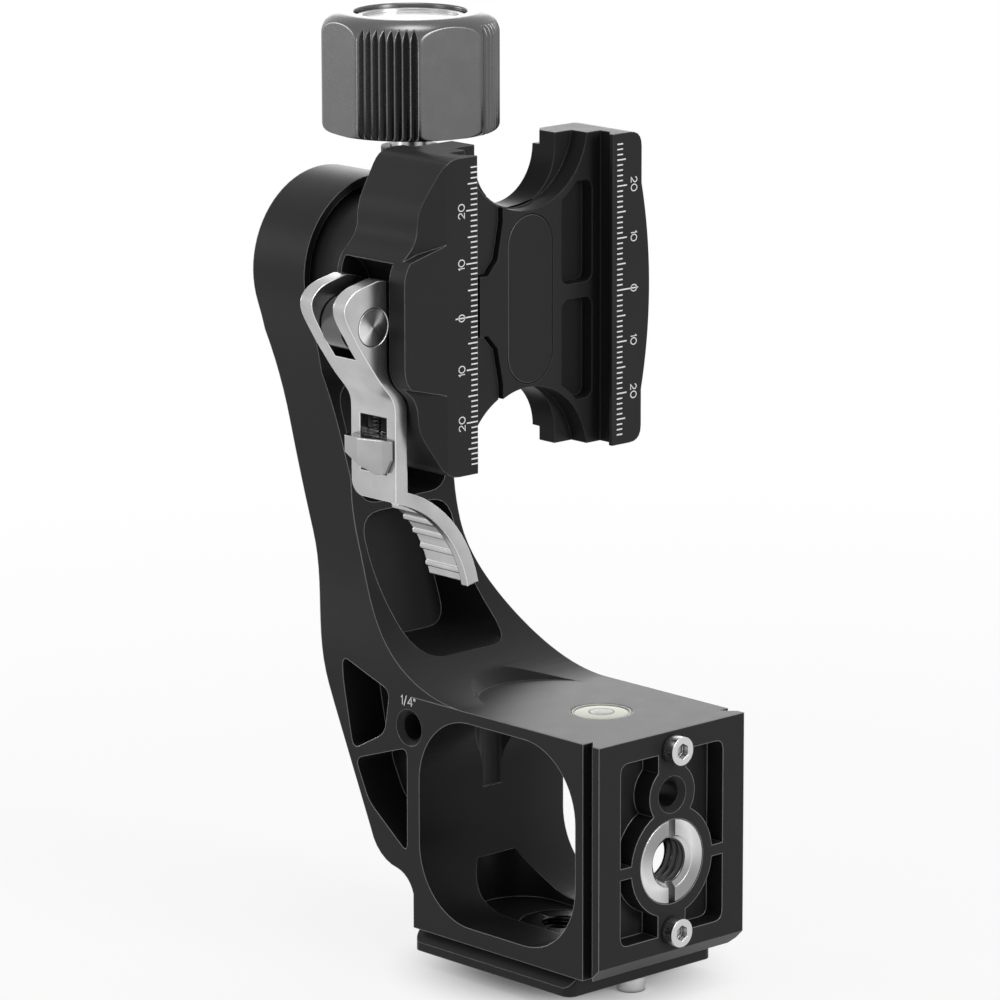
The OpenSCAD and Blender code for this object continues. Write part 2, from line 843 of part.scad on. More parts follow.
module axle_nut() color(satin_steel) {
  seat = axle_shoulder - washer_t;
  difference() {
    translate([seat - axle_nut_t, 0, axis_h])
      rotate([0, 90, 0]) cylinder(h = axle_nut_t, r = axle_nut_r, $fn = 6);
    rod_x(axle_end_r, seat - axle_nut_t - over, seat + over);
  }
}
axle_nut_r = 7.5;

// The edge of the clamp base towards the moving jaw, with a tongue; the
// moving jaw follows it with the shift as its clearance
function seam_line(shift) = [
  [-seam - shift, jaw_half + over],
  [-seam - shift, seam_step + seam],
  [-seam_step - shift, seam_step + shift],
  [-seam_step - seam_ease - shift, tongue_half + shift],
  [-tongue_reach - shift, tongue_half + shift],
  [-tongue_reach - shift, -tongue_half - shift],
  [-seam_step - seam_ease - shift, -tongue_half - shift],
  [-seam_step - shift, -seam_step - shift],
  [-seam - shift, -seam_step - seam],
  [-seam - shift, -jaw_half - over]
];
seam_ease = 2.4;

// The clamp base and fixed jaw seen from the front
module fixed_outline() {
  bulge_half = 20;
  bulge_r = (pow(bulge_half, 2) + pow(fixed_bulge, 2)) / (fixed_bulge + fixed_bulge);
  difference() {
    union() {
      polygon(concat(
        [for (p = seam_line(0)) [p.x, sign(p.y) * min(abs(p.y), jaw_half)]],
        eased_way([
          [fixed_lip, -jaw_half],
          [fixed_side, -jaw_half],
          [fixed_side, jaw_half],
          [fixed_lip, jaw_half]
        ], jaw_corner)
      ));
      intersection() {
        translate([fixed_side + fixed_bulge - bulge_r, 0]) circle(r = bulge_r, $fn = 180);
        translate([0, -bulge_half]) square([fixed_side + bulge_half, bulge_half + bulge_half]);
      }
    }
    for (side = [0, 1])
      mirror([0, side])
        translate([-jaw_len, jaw_half]) square([jaw_len + jaw_len, jaw_half]);
  }
}
jaw_corner = 3;

// Scallops and slots in the two ends of the clamp
module end_cuts() {
  for (side = [0, 1])
    translate([0, 0, axis_h])
      mirror([0, 0, side])
        translate([0, 0, -axis_h]) {
          rod_x(scallop_r, bed_x - scallop_d, face_x + over, -scallop_shift,
            axis_h + scallop_h);
          rod_x(slot_r, clamp_back - over, bed_x, 0, axis_h + slot_h);
          block([clamp_back - over, -slot_r, axis_h + slot_h],
            [bed_x, slot_r, axis_h + jaw_len]);
        }
}
scallop_shift = 0.5;

// The lightening pockets in the bed, beside the fixed jaw
module bed_pockets() {
  for (side = [0, 1])
    mirror([0, side])
      difference() {
        round_rect([bed_pocket_in, bed_rib], [fixed_lip - gap, scallop_h - bed_pocket_drop], bed_pocket_r);
        translate([-scallop_shift, scallop_h]) circle(r = scallop_r + bed_rib);
      }
}
bed_pocket_in = 8.2;
bed_rib = 1.5;
bed_pocket_drop = 11.3;
bed_pocket_r = 1.8;
bed_pocket_d = 2.8;

module clamp_base() color(machined_black) {
  difference() {
    union() {
      along_x(clamp_back, bed_x) fixed_outline();
      intersection() {
        along_x(bed_x - over, face_x) fixed_outline();
        translate([0, 0, axis_h - jaw_len])
          linear_extrude(jaw_len + jaw_len)
            polygon([
              [bed_x - over, fixed_lip + undercut],
              [face_x - lip_edge - undercut, fixed_lip + undercut],
              [face_x - lip_edge, fixed_lip],
              [face_x, fixed_lip],
              [face_x, jaw_len],
              [bed_x - over, jaw_len]
            ]);
      }
    }
    end_cuts();
    along_x(bed_x - bed_pocket_d, bed_x + over) bed_pockets();
    // Seat of the pad and holes of the screws below it
    along_x(pad_floor, bed_x + over) pad_outline(run + run);
    for (side = [-1, 1]) {
      rod_x(clamp_screw_r, clamp_back - over, bed_x, clamp_screw_y,
        axis_h + side * clamp_screw_h);
      rod_x(clamp_head_r, pad_floor - clamp_head_h, bed_x, clamp_screw_y,
        axis_h + side * clamp_screw_h);
      rod_y(guide_r, lever_x, -seam_step - over, guide_end, axis_h + side * guide_h);
      rod_y(spring_bore_r, lever_x, -seam_step - over, spring_base,
        axis_h + side * guide_h);
    }
    // Bore of the draw rod and the seat of its nut
    rod_y(rod_r + run, lever_x, -tongue_reach - over, fixed_side + fixed_bulge + over);
    rod_y(rod_nut_r, lever_x, rod_nut_y, fixed_side + fixed_bulge + over);
    // Chamfers round the backs of the slots
    for (side = [-1, 1], way = [-1, 1])
      translate([clamp_back, side * slot_r, axis_h + way * (slot_h + jaw_half * half)])
        rotate(45) cube([slot_chamfer, slot_chamfer, jaw_half], center = true);
  }
}
slot_chamfer = 2.8;
guide_end = -1;
spring_bore_r = 3.4;
spring_base = -3.5;
rod_nut_r = 4.3;
rod_nut_y = 21.5;
rod_nut_h = 3.4;

module pad_outline(ease) {
  r = pad_w * half + ease;
  reach = (pad_len - pad_w) * half;
  for (side = [-1, 1])
    translate([0, side * reach]) circle(r = r);
  translate([-r, -reach]) square([r + r, reach + reach]);
}

module bed_pad() color(black_anodised) {
  along_x(pad_floor, bed_x) pad_outline(-run);
}

module clamp_screws() color(satin_steel) {
  for (side = [-1, 1]) {
    z = axis_h + side * clamp_screw_h;
    rod_x(clamp_screw_r, clamp_back - clamp_screw_d, pad_floor - clamp_head_h + run,
      clamp_screw_y, z);
    rod_x(clamp_head_r, pad_floor - clamp_head_h, pad_floor, clamp_screw_y, z);
  }
}

module draw_rod() color(satin_steel) {
  difference() {
    union() {
      rod_y(rod_r, lever_x, -pin_reach + lever_pin_r + run + run, rod_nut_y + rod_nut_h);
      rod_x(eye_r, lever_x - eye_w * half, lever_x + eye_w * half, -pin_reach);
    }
    rod_x(lever_pin_r + run, lever_x - eye_w, lever_x + eye_w, -pin_reach);
  }
}
eye_r = 5;
eye_w = lever_w - ear_t - ear_t - gap - gap;

module rod_nut() color(satin_steel) {
  difference() {
    rod_y(rod_nut_r, lever_x, rod_nut_y, rod_nut_y + rod_nut_h);
    rod_y(rod_r, lever_x, rod_nut_y - over, rod_nut_y + rod_nut_h + over);
    block([lever_x - nut_slot * half, -pin_reach, axis_h - rod_nut_r - over],
      [lever_x + nut_slot * half, rod_nut_y + rod_nut_h + over, axis_h - rod_r - gap]);
    block([lever_x - nut_slot * half, -pin_reach, axis_h + rod_r + gap],
      [lever_x + nut_slot * half, rod_nut_y + rod_nut_h + over, axis_h + rod_nut_r + over]);
  }
}
nut_slot = 1.4;

module guide_pins() color(satin_steel) {
  for (side = [-1, 1])
    rod_y(guide_r, lever_x, guide_start, guide_end, axis_h + side * guide_h);
}
guide_start = -25;

// A coil spring: the ring of each step lies square to the helix's radius
module coil(r, wire, length, turns, steps = 8, sides = 6) {
  count = turns * steps;
  pitch = (length - wire - wire) / turns;
  rings = [for (k = [0:count]) let (a = 360 * k / steps)
    [for (s = [0:sides - 1]) let (b = 360 * s / sides, d = r + wire * cos(b))
      [d * cos(a), d * sin(a), wire + pitch * k / steps + wire * sin(b)]]];
  points = [for (ring = rings) each ring];
  sides_faces = [for (k = [0:count - 1], s = [0:sides - 1])
    let (
      i = k * sides + s,
      j = k * sides + (s + 1) % sides
    )
    each [[i, j + sides, j], [i, i + sides, j + sides]]];
  ends = concat(
    [for (s = [1:sides - 2]) [0, s, s + 1]],
    [for (s = [1:sides - 2]) [count * sides, count * sides + s + 1, count * sides + s]]
  );
  polyhedron(points, concat(sides_faces, ends));
}

module jaw_springs() color(satin_steel) {
  for (side = [-1, 1])
    translate([lever_x, spring_base, axis_h + side * guide_h])
      rotate([90, 0, 0])
        coil(spring_r, spring_wire, spring_base + jaw_spring_reach, spring_turns);
}
spring_r = 2.7;
spring_wire = 0.4;
spring_turns = 5;
jaw_spring_reach = 12;

// The moving jaw seen from the front
module moving_outline() {
  difference() {
    polygon(eased_way([
      [over, jaw_half],
      [-jaw_facet, jaw_half],
      [-jaw_side, side_half],
      [-jaw_side, flange_foot],
      [-jaw_flange, flange_half],
      [-jaw_flange, -flange_half],
      [-jaw_side, -flange_foot],
      [-jaw_side, -side_half],
      [-jaw_facet, -jaw_half],
      [over, -jaw_half]
    ], jaw_ease));
    polygon(concat(seam_line(gap), [
      [over + over, -jaw_half - over],
      [over + over, jaw_half + over]
    ]));
  }
}

// Where the facets lie beside the flange, seen from the front
module facet_outline() {
  polygon(eased([
    [-jaw_facet + over, facet_start + facet_rise],
    [-jaw_facet + over, jaw_half + over],
    [-jaw_flange - over, jaw_half + over],
    [-jaw_flange - over, facet_start - facet_rise],
    [-jaw_side, facet_start]
  ], facet_ease));
}

module moving_jaw() color(machined_black) {
  pocket_front = face_x - lever_back + lever_gap;
  pocket_back = face_x - lever_back - lever_w - lever_gap;
  difference() {
    union() {
      along_x(clamp_back, bed_x - jaw_floor_d) moving_outline();
      // The jaw itself, with its lip over the bed
      intersection() {
        along_x(jaw_back, face_x) moving_outline();
        translate([0, 0, axis_h - jaw_len])
          linear_extrude(jaw_len + jaw_len)
            polygon([
              [jaw_back, -jaw_root],
              [clamp_back + over, -jaw_root],
              [clamp_back + over, -moving_lip - undercut],
              [face_x - lip_edge - undercut, -moving_lip - undercut],
              [face_x - lip_edge, -moving_lip],
              [face_x, -moving_lip],
              [face_x, -jaw_len],
              [jaw_back, -jaw_len]
            ]);
      }
    }
    end_cuts();
    // Facets beside the flange
    for (side = [0, 1])
      translate([0, 0, axis_h])
        mirror([0, 0, side])
          intersection() {
            linear_extrude(jaw_len)
              polygon([
                [face_x + over, -jaw_facet + over],
                [face_x, -jaw_facet],
                [face_x - facet_d, -jaw_side],
                [face_x - facet_d, -jaw_flange - over],
                [face_x + over, -jaw_flange - over]
              ]);
            along_x(face_x - facet_d - over, face_x + over, 0) facet_outline();
          }
    // Pocket of the cam and the way of the strap
    along_x(pocket_back, pocket_front) {
      polygon(concat(
        [[-jaw_flange - over, -cam_pocket_half]],
        bow([-cam_floor - cam_corner, -cam_pocket_half], [-cam_floor, -cam_pocket_half + cam_corner], cam_corner, 6),
        bow([-cam_floor, cam_pocket_half - cam_corner], [-cam_floor - cam_corner, cam_pocket_half], cam_corner, 6),
        [[-jaw_flange - over, cam_pocket_half]]
      ));
      translate([-jaw_flange - over, -side_half])
        square([jaw_flange + over - jaw_side, side_half]);
    }
    // Bores of the draw rod, the guide pins and the springs
    rod_y(rod_r + gap, lever_x, -jaw_flange, -tongue_reach);
    for (side = [-1, 1]) {
      rod_y(guide_r + run, lever_x, guide_start - jaw_travel - gap, 0,
        axis_h + side * guide_h);
      rod_y(spring_bore_r, lever_x, -jaw_spring_reach, 0, axis_h + side * guide_h);
    }
  }
}
jaw_root = 20;
facet_start = 12.8;
facet_rise = 1.6;
facet_ease = 2;
jaw_ease = 3;
cam_corner = 7;
lever_gap = 0.45;

// The cam: its support falls evenly by the jaw's travel over a quarter turn
function cam_point(angle) =
  let (
    h = cam_r - jaw_travel * angle / quarter,
    slope = -jaw_travel / (PI * half)
  )
  [h * cos(angle) - slope * sin(angle), h * sin(angle) + slope * cos(angle)];

// Outline of the lever's outer edge, from the top of the ears round to the
// strap, as shares of the cam's reach
ear_shares = [[-0.37, 0.71], [-0.56, 0.6], [-0.67, 0.46], [-0.68, 0.3], [-0.61, 0.12],
  [-0.32, -0.36], [0.1, -0.96]];
strap_top_share = 1.44;

module lever_profile() {
  in_y = pin_reach - strap_in;
  out_y = pin_reach - strap_out;
  dwell = acos(in_y / cam_r);
  polygon(concat(
    [for (k = [cam_steps:-1:0]) cam_point(quarter * k / cam_steps)],
    [for (k = [1:dwell_steps]) let (a = -dwell * k / dwell_steps) cam_r * [cos(a), sin(a)]],
    [[in_y, -strap_len]],
    eased_way(concat(
      [[out_y, -strap_len], [out_y, -cam_r * strap_top_share]],
      [for (k = [len(ear_shares) - 1:-1:0]) ear_shares[k] * cam_r],
      [cam_point(quarter)]
    ), cam_r * ear_ease_share, 4)
  ));
}
quarter = 90;
cam_steps = 10;
dwell_steps = 4;
ear_ease_share = 0.2;
strap_len = 34;

// The finger tab is an arc that hooks in under the clamp
tab_start = 75.5;
tab_end = 12;

// A stretch of the arc between two depths below the hollow's surface
module tab_profile(low, high) {
  steps = 14;
  turn = tab_end - tab_start;
  translate(tab_centre)
    polygon(concat(
      [for (k = [0:steps]) let (a = tab_start + turn * k / steps) (tab_r + low) * [cos(a), sin(a)]],
      [for (k = [steps:-1:0]) let (a = tab_start + turn * k / steps)
        (tab_r + high) * [cos(a), sin(a)]]
    ));
}
tab_in = 5.6;
tab_drop = 23.8;
tab_centre = [pin_reach - strap_out - tab_in, -strap_len - tab_drop];

// Ribs across the hollow of the tab
module tab_ribs() {
  for (k = [0:rib_count - 1]) {
    a = rib_start + (rib_end - rib_start) * k / (rib_count - 1);
    translate(tab_centre + (tab_r + hollow_d + rib_sink) * [cos(a), sin(a)]) circle(r = rib_r, $fn = 24);
  }
}
rib_count = 7;
rib_start = 68;
rib_end = 17;
rib_r = 0.7;
rib_sink = 0.15;

module lever() color(satin_steel) {
  x0 = lever_x - lever_w * half;
  x1 = lever_x + lever_w * half;
  translate([0, -pin_reach, 0])
    difference() {
      union() {
        along_x(x0, x1) lever_profile();
        along_x(x0, x1) tab_profile(hollow_d, tab_t);
        along_x(x1 - rim_w, x1) tab_profile(0, tab_t);
        along_x(x0 + rib_sink, x1 - rim_w * half) tab_ribs();
      }
      rod_x(lever_pin_r, x0 - over, x1 + over);
      // The fork between the ears
      along_x(x0 + ear_t, x1 - ear_t)
        translate([-cam_r - over, -fork_low])
          square([cam_r + cam_r + over + over, fork_low + cam_r + over]);
      // The strap's round lower corner
      translate([x0, pin_reach - strap_in, axis_h - strap_len])
        rotate([90, 0, 0])
          linear_extrude(pin_reach)
            difference() {
              translate([-over, -over]) square([strap_corner_r + over, strap_corner_r + over]);
              translate([strap_corner_r, strap_corner_r]) circle(r = strap_corner_r);
            }
      // Slot of the latch and the seat of its keeper
      along_x(lever_x - latch_slot_w * half, lever_x + latch_slot_w * half)
        translate([pin_reach - strap_out - over, -latch_low])
          square([strap_t + over + over, latch_low - latch_high]);
      along_x(lever_x - keeper_w * half, lever_x + keeper_w * half)
        translate([pin_reach - strap_in - keeper_d, -latch_low - over])
          square([keeper_d + over, latch_low - latch_high + over + over]);
    }
}
fork_low = 6.4;
strap_corner_r = 3;
latch_slot_w = 7.5;
latch_high = 18.2;
latch_len = 6.3;
latch_spring_len = 1.1;
latch_low = latch_high + latch_len + latch_travel + latch_spring_len + gap;
keeper_w = 9.5;
keeper_d = 1;

module lever_pin() color(satin_steel) {
  rod_x(lever_pin_r, lever_x - lever_w * half, lever_x + lever_w * half, -pin_reach);
}

// The safety latch: a wedge outside the strap, a stem in its slot and a
// keeper inside
module latch() color(satin_steel) {
  out = strap_out + run;
  low = -latch_low;
  along_x(lever_x - latch_slot_w * half + run + run, lever_x + latch_slot_w * half - run - run)
    translate([-out, low + gap]) square([strap_t + run - keeper_d * half, latch_len]);
  along_x(lever_x - keeper_w * half + run + run, lever_x + keeper_w * half - run - run)
    translate([-strap_in - keeper_d + run, low + gap])
      square([keeper_d - run - run, latch_len + over]);
  // The wedge: thick at the far end, with its lower edge slanting to a tip
  intersection() {
    translate([lever_x - latch_w * half, 0, axis_h - jaw_len])
      linear_extrude(jaw_len)
        polygon([
          [0, -out],
          [0, -out - latch_t * half],
          [latch_ease, -out - latch_t],
          [latch_w * ridge_share, -out - latch_t],
          [latch_w * slope_share, -out - latch_t * edge_share],
          [latch_w, -out - latch_t * edge_share],
          [latch_w, -out]
        ]);
    translate([lever_x - latch_w * half, 0, axis_h + low])
      rotate([90, 0, 0])
        linear_extrude(jaw_len)
          polygon([for (p = wedge_shares) [p.x * latch_w, p.y * latch_len]]);
  }
}
latch_w = 11.3;
latch_t = 2.8;
latch_ease = 0.7;
ridge_share = 0.38;
slope_share = 0.8;
edge_share = 0.35;
wedge_shares = [[0, 0.62], [0.3, 0.34], [0.68, 0], [0.86, 0.06], [1, 0.5], [1, 1.08], [0, 1.08]];

module latch_spring() color(satin_steel) {
  length = latch_low - latch_high - latch_len - gap;
  translate([lever_x, -strap_out + (strap_t - keeper_d) * half, axis_h - latch_high - length])
    coil(latch_spring_r, latch_wire, length, latch_turns);
}
latch_spring_r = 0.6;
latch_wire = 0.2;
latch_turns = 5;

arm_frame();
pivot_housing();
front_bush();
rear_bush();
rear_cap();
base_bushing();
end_bushing();
end_stop_screws();
base_stop_screws();
level_vial();
level_sleeve();
thrust_washer();
brake_shoe();
knob_stud();
lock_knob();
knob_cap();
tilt_axle();
axle_washer();
axle_nut();
clamp_base();
clamp_screws();
bed_pad();
draw_rod();
rod_nut();
guide_pins();
jaw_springs();
moving_jaw();
lever();
lever_pin();
latch();
latch_spring();
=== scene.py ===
"""The looks of a gimbal tripod head: machined, anodised, turned and printed surfaces.

Sizes are in millimetres until a mesh is made, and in metres from there on.
"""

import json
import math

import bmesh
import bpy
import numpy as np
from mathutils import Matrix, Vector

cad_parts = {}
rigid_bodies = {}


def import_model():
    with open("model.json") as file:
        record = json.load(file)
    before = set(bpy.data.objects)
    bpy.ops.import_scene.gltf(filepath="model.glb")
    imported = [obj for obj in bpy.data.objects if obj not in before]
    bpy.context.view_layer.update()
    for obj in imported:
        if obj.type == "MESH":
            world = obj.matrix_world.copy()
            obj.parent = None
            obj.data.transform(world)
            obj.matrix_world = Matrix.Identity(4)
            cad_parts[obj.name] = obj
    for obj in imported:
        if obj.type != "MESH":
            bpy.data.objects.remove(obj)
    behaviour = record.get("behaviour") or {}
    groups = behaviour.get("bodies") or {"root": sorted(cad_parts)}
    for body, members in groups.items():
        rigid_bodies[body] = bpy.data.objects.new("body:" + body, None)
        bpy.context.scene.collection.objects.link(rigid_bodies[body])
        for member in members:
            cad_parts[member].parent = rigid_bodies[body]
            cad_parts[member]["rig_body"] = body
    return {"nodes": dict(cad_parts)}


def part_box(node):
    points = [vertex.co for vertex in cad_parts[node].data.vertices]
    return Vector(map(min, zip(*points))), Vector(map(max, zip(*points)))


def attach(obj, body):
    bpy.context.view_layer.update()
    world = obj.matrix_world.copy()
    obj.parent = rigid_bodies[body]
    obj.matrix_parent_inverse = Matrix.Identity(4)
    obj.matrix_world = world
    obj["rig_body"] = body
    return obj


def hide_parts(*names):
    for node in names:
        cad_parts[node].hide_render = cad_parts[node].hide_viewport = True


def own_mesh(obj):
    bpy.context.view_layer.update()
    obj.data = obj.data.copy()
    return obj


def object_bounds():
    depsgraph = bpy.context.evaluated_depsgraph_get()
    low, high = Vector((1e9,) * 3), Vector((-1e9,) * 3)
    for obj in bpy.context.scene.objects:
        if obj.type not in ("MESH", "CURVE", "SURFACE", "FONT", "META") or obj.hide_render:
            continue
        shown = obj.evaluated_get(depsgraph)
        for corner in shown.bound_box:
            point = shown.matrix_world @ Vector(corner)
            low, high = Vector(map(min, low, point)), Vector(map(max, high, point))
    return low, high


MM = 0.001
FULL_TURN = 2 * math.pi
ALONG_X, ALONG_Y, ALONG_Z = (1, 0, 0), (0, 1, 0), (0, 0, 1)

# Points nearer than this, in metres, are one point, and faces within this angle are one face
WELD = 2e-6
FLAT = math.radians(0.6)

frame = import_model()
nodes = frame["nodes"]
cad_low, cad_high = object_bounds()


# Places of the head's own parts, read from the frame

def corners(node):
    """Lowest and highest corner of a CAD node in millimetres."""
    low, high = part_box(node)
    return np.array(low) / MM, np.array(high) / MM


def middle(node):
    """Centre of a CAD node's box in millimetres."""
    low, high = corners(node)
    return (low + high) / 2


PIN = middle("lever_pin")
AXIS_Z = middle("rear_cap")[2]
FACE_X = corners("clamp_base")[1][0]
SIDE_Y = corners("arm_frame")[0][1]
END_X = corners("end_bushing")[1][0]
END_H = middle("end_bushing")[2]
KNOB_LOW, KNOB_HIGH = corners("lock_knob")
LEVEL_LOW, LEVEL_HIGH = corners("level_vial")


# Materials

BLASTING_SIZE = 0.16


class Recipe:
    """A material being built: its nodes, its links and its shader."""

    def __init__(self, name, colour, metallic, roughness):
        self.material = bpy.data.materials.new(name)
        self.material.use_nodes = True
        self.nodes = self.material.node_tree.nodes
        self.links = self.material.node_tree.links
        self.shader = self.nodes["Principled BSDF"]
        self.shader.inputs["Base Color"].default_value = (*colour, 1)
        self.shader.inputs["Metallic"].default_value = metallic
        self.shader.inputs["Roughness"].default_value = roughness
        self.place = self.nodes.new("ShaderNodeTexCoord").outputs["Object"]

    def node(self, kind, **settings):
        """A new node with its settings."""
        made = self.nodes.new(kind)
        for key, value in settings.items():
            setattr(made, key, value)
        return made

    def noise(self, size, stretch=(1, 1, 1), detail=2):
        """Noise whose spots are about that many millimetres across, drawn out by the stretch."""
        mapping = self.node("ShaderNodeMapping")
        mapping.inputs["Scale"].default_value = [1 / s for s in stretch]
        self.links.new(self.place, mapping.inputs["Vector"])
        noise = self.node("ShaderNodeTexNoise")
        noise.inputs["Scale"].default_value = 1 / (size * MM)
        noise.inputs["Detail"].default_value = detail
        self.links.new(mapping.outputs["Vector"], noise.inputs["Vector"])
        return noise.outputs["Fac"]

    def ranged(self, source, start, end, low, high, **settings):
        """Maps a value that runs from start to end to the range from low to high."""
        made = self.node("ShaderNodeMapRange", **settings)
        for socket, value in zip(("From Min", "From Max", "To Min", "To Max"), (start, end, low, high)):
            made.inputs[socket].default_value = value
        self.links.new(source, made.inputs["Value"])
        return made.outputs["Result"]

    def times(self, first, second):
        """The product of two values."""
        made = self.node("ShaderNodeMath", operation="MULTIPLY")
        self.links.new(first, made.inputs[0])
        self.links.new(second, made.inputs[1])
        return made.outputs[0]

    def sine(self, source):
        """The sine of an angle in radians."""
        made = self.node("ShaderNodeMath", operation="SINE")
        self.links.new(source, made.inputs[0])
        return made.outputs[0]

    def from_centre(self, centre):
        """The place on the surface, measured from a centre given in millimetres."""
        offset = self.node("ShaderNodeVectorMath", operation="SUBTRACT")
        offset.inputs[1].default_value = [c * MM for c in centre]
        self.links.new(self.place, offset.inputs[0])
        return offset.outputs[0]

    def bump(self, height, depth):
        """Raises the surface by the height value times the depth in millimetres, over earlier bumps."""
        bump = self.node("ShaderNodeBump")
        bump.inputs["Distance"].default_value = depth * MM
        self.links.new(height, bump.inputs["Height"])
        normal = self.shader.inputs["Normal"]
        if normal.is_linked:
            self.links.new(normal.links[0].from_socket, bump.inputs["Normal"])
        self.links.new(bump.outputs["Normal"], normal)

    def cloud(self, colour, change, size):
        """Colour that wanders by the change share over patches of that size."""
        mix = self.node("ShaderNodeMix", data_type="RGBA")
        mix.inputs["A"].default_value = (*[c * (1 - change) for c in colour], 1)
        mix.inputs["B"].default_value = (*[c * (1 + change) for c in colour], 1)
        self.links.new(self.noise(size), mix.inputs["Factor"])
        self.links.new(mix.outputs["Result"], self.shader.inputs["Base Color"])

    def uneven(self, low, high, size, stretch=(1, 1, 1)):
        """Roughness that wanders between low and high over patches of that size."""
        rough = self.ranged(self.noise(size, stretch, detail=3), 0, 1, low, high)
        self.links.new(rough, self.shader.inputs["Roughness"])

    def round_edges(self, radius, shine, edge_shine, edge_highlight_grey):
        """Shades sharp edges as if they were rounded by that many millimetres. Where the rounded normal
        leans from the surface's own, the gloss is raised and a paler line is painted in as a highlight."""
        face_lean, edge_lean = 0.985, 0.85
        edge = self.node("ShaderNodeBevel", samples=8)
        edge.inputs["Radius"].default_value = radius * MM
        self.links.new(edge.outputs["Normal"], self.shader.inputs["Normal"])
        lean = self.node("ShaderNodeVectorMath", operation="DOT_PRODUCT")
        self.links.new(edge.outputs["Normal"], lean.inputs[0])
        self.links.new(self.node("ShaderNodeNewGeometry").outputs["Normal"], lean.inputs[1])
        share = self.ranged(lean.outputs["Value"], face_lean, edge_lean, 0, 1)
        gloss = self.ranged(share, 0, 1, shine, edge_shine)
        self.links.new(gloss, self.shader.inputs["Specular IOR Level"])
        # Painted highlight: the colour is mixed towards a pale grey where the edge's normal leans
        base = self.shader.inputs["Base Color"]
        mix = self.node("ShaderNodeMix", data_type="RGBA")
        self.links.new(base.links[0].from_socket, mix.inputs["A"])
        mix.inputs["B"].default_value = (edge_highlight_grey, edge_highlight_grey, edge_highlight_grey, 1)
        self.links.new(share, mix.inputs["Factor"])
        self.links.new(mix.outputs["Result"], base)

    def shade_recesses(self, reach, floor_share):
        """Paints shade into the colour: darkens it where the surface is closed in within that many
        millimetres.
        """
        closed_in, unclosed = 0.35, 0.85
        inside = self.node("ShaderNodeAmbientOcclusion", samples=8)
        inside.inputs["Distance"].default_value = reach * MM
        share = self.ranged(inside.outputs["AO"], closed_in, unclosed, floor_share, 1)
        base = self.shader.inputs["Base Color"]
        mix = self.node("ShaderNodeMix", data_type="RGBA", blend_type="MULTIPLY")
        mix.inputs["Factor"].default_value = 1
        self.links.new(base.links[0].from_socket, mix.inputs["A"])
        self.links.new(share, mix.inputs["B"])
        self.links.new(mix.outputs["Result"], base)

    def wedges(self, centre, axis, dark, light, turn):
        """Painted reflection: a turned face is painted lighter and darker in two wedges. Its grey follows
        the sine of twice the angle about the axis, plus a turn in degrees."""
        trough, waves = -0.9, 2
        split = self.node("ShaderNodeSeparateXYZ")
        self.links.new(self.from_centre(centre), split.inputs[0])
        flat = [out for out, a in zip(split.outputs, axis) if not a]
        angle = self.node("ShaderNodeMath", operation="ARCTAN2")
        self.links.new(flat[1], angle.inputs[0])
        self.links.new(flat[0], angle.inputs[1])
        twice = self.node("ShaderNodeMath", operation="MULTIPLY_ADD")
        twice.inputs[1].default_value = waves
        twice.inputs[2].default_value = math.radians(turn)
        self.links.new(angle.outputs[0], twice.inputs[0])
        wave = self.sine(twice.outputs[0])
        grey = self.ranged(wave, trough, 1, dark, light, interpolation_type="SMOOTHSTEP")
        self.links.new(grey, self.shader.inputs["Base Color"])

    def rings(self, centre, axis, pitch):
        """Height of turning marks: rings about an axis through the centre, a pitch apart in millimetres."""
        across = self.node("ShaderNodeVectorMath", operation="MULTIPLY")
        across.inputs[1].default_value = [1 - a for a in axis]
        self.links.new(self.from_centre(centre), across.inputs[0])
        length = self.node("ShaderNodeVectorMath", operation="LENGTH")
        self.links.new(across.outputs[0], length.inputs[0])
        turns = self.node("ShaderNodeMath", operation="MULTIPLY")
        turns.inputs[1].default_value = FULL_TURN / (pitch * MM)
        self.links.new(length.outputs["Value"], turns.inputs[0])
        return self.sine(turns.outputs[0])

    def turning_gloss(self, centre, axis):
        """Draws the gloss out along the turning marks: the tangent is the axis crossed with the radius."""
        drawn_out = 0.75
        around = self.node("ShaderNodeVectorMath", operation="CROSS_PRODUCT")
        around.inputs[0].default_value = axis
        self.links.new(self.from_centre(centre), around.inputs[1])
        turned = self.node("ShaderNodeVectorTransform", vector_type="VECTOR", convert_from="OBJECT",
            convert_to="WORLD")
        self.links.new(around.outputs[0], turned.inputs[0])
        self.links.new(turned.outputs[0], self.shader.inputs["Tangent"])
        self.shader.inputs["Anisotropic"].default_value = drawn_out


def anodised(name, colour, rough, grain_depth, shine, edge=0.0, edge_shine=1.0, edge_highlight_grey=0.05):
    """Blasted and black anodised alloy: a fine grain under a satin oxide skin, with a paler highlight
    painted along its edges.
    """
    made = Recipe(name, colour, metallic=0.0, roughness=rough[0])
    made.cloud(colour, change=0.12, size=9)
    made.uneven(*rough, size=4)
    made.shader.inputs["Specular IOR Level"].default_value = shine
    # A painted highlight: a paler line along the rounded edges
    if edge:
        made.round_edges(edge, shine, edge_shine, edge_highlight_grey)
    made.bump(made.noise(BLASTING_SIZE), grain_depth)
    return made.material


def blasted_alloy(name, colour, rough):
    """Blasted alloy under a clear, grey anodised skin."""
    made = Recipe(name, colour, metallic=1.0, roughness=rough[1])
    made.cloud(colour, change=0.05, size=6)
    made.uneven(*rough, size=3)
    made.bump(made.noise(BLASTING_SIZE), depth=0.003)
    return made.material


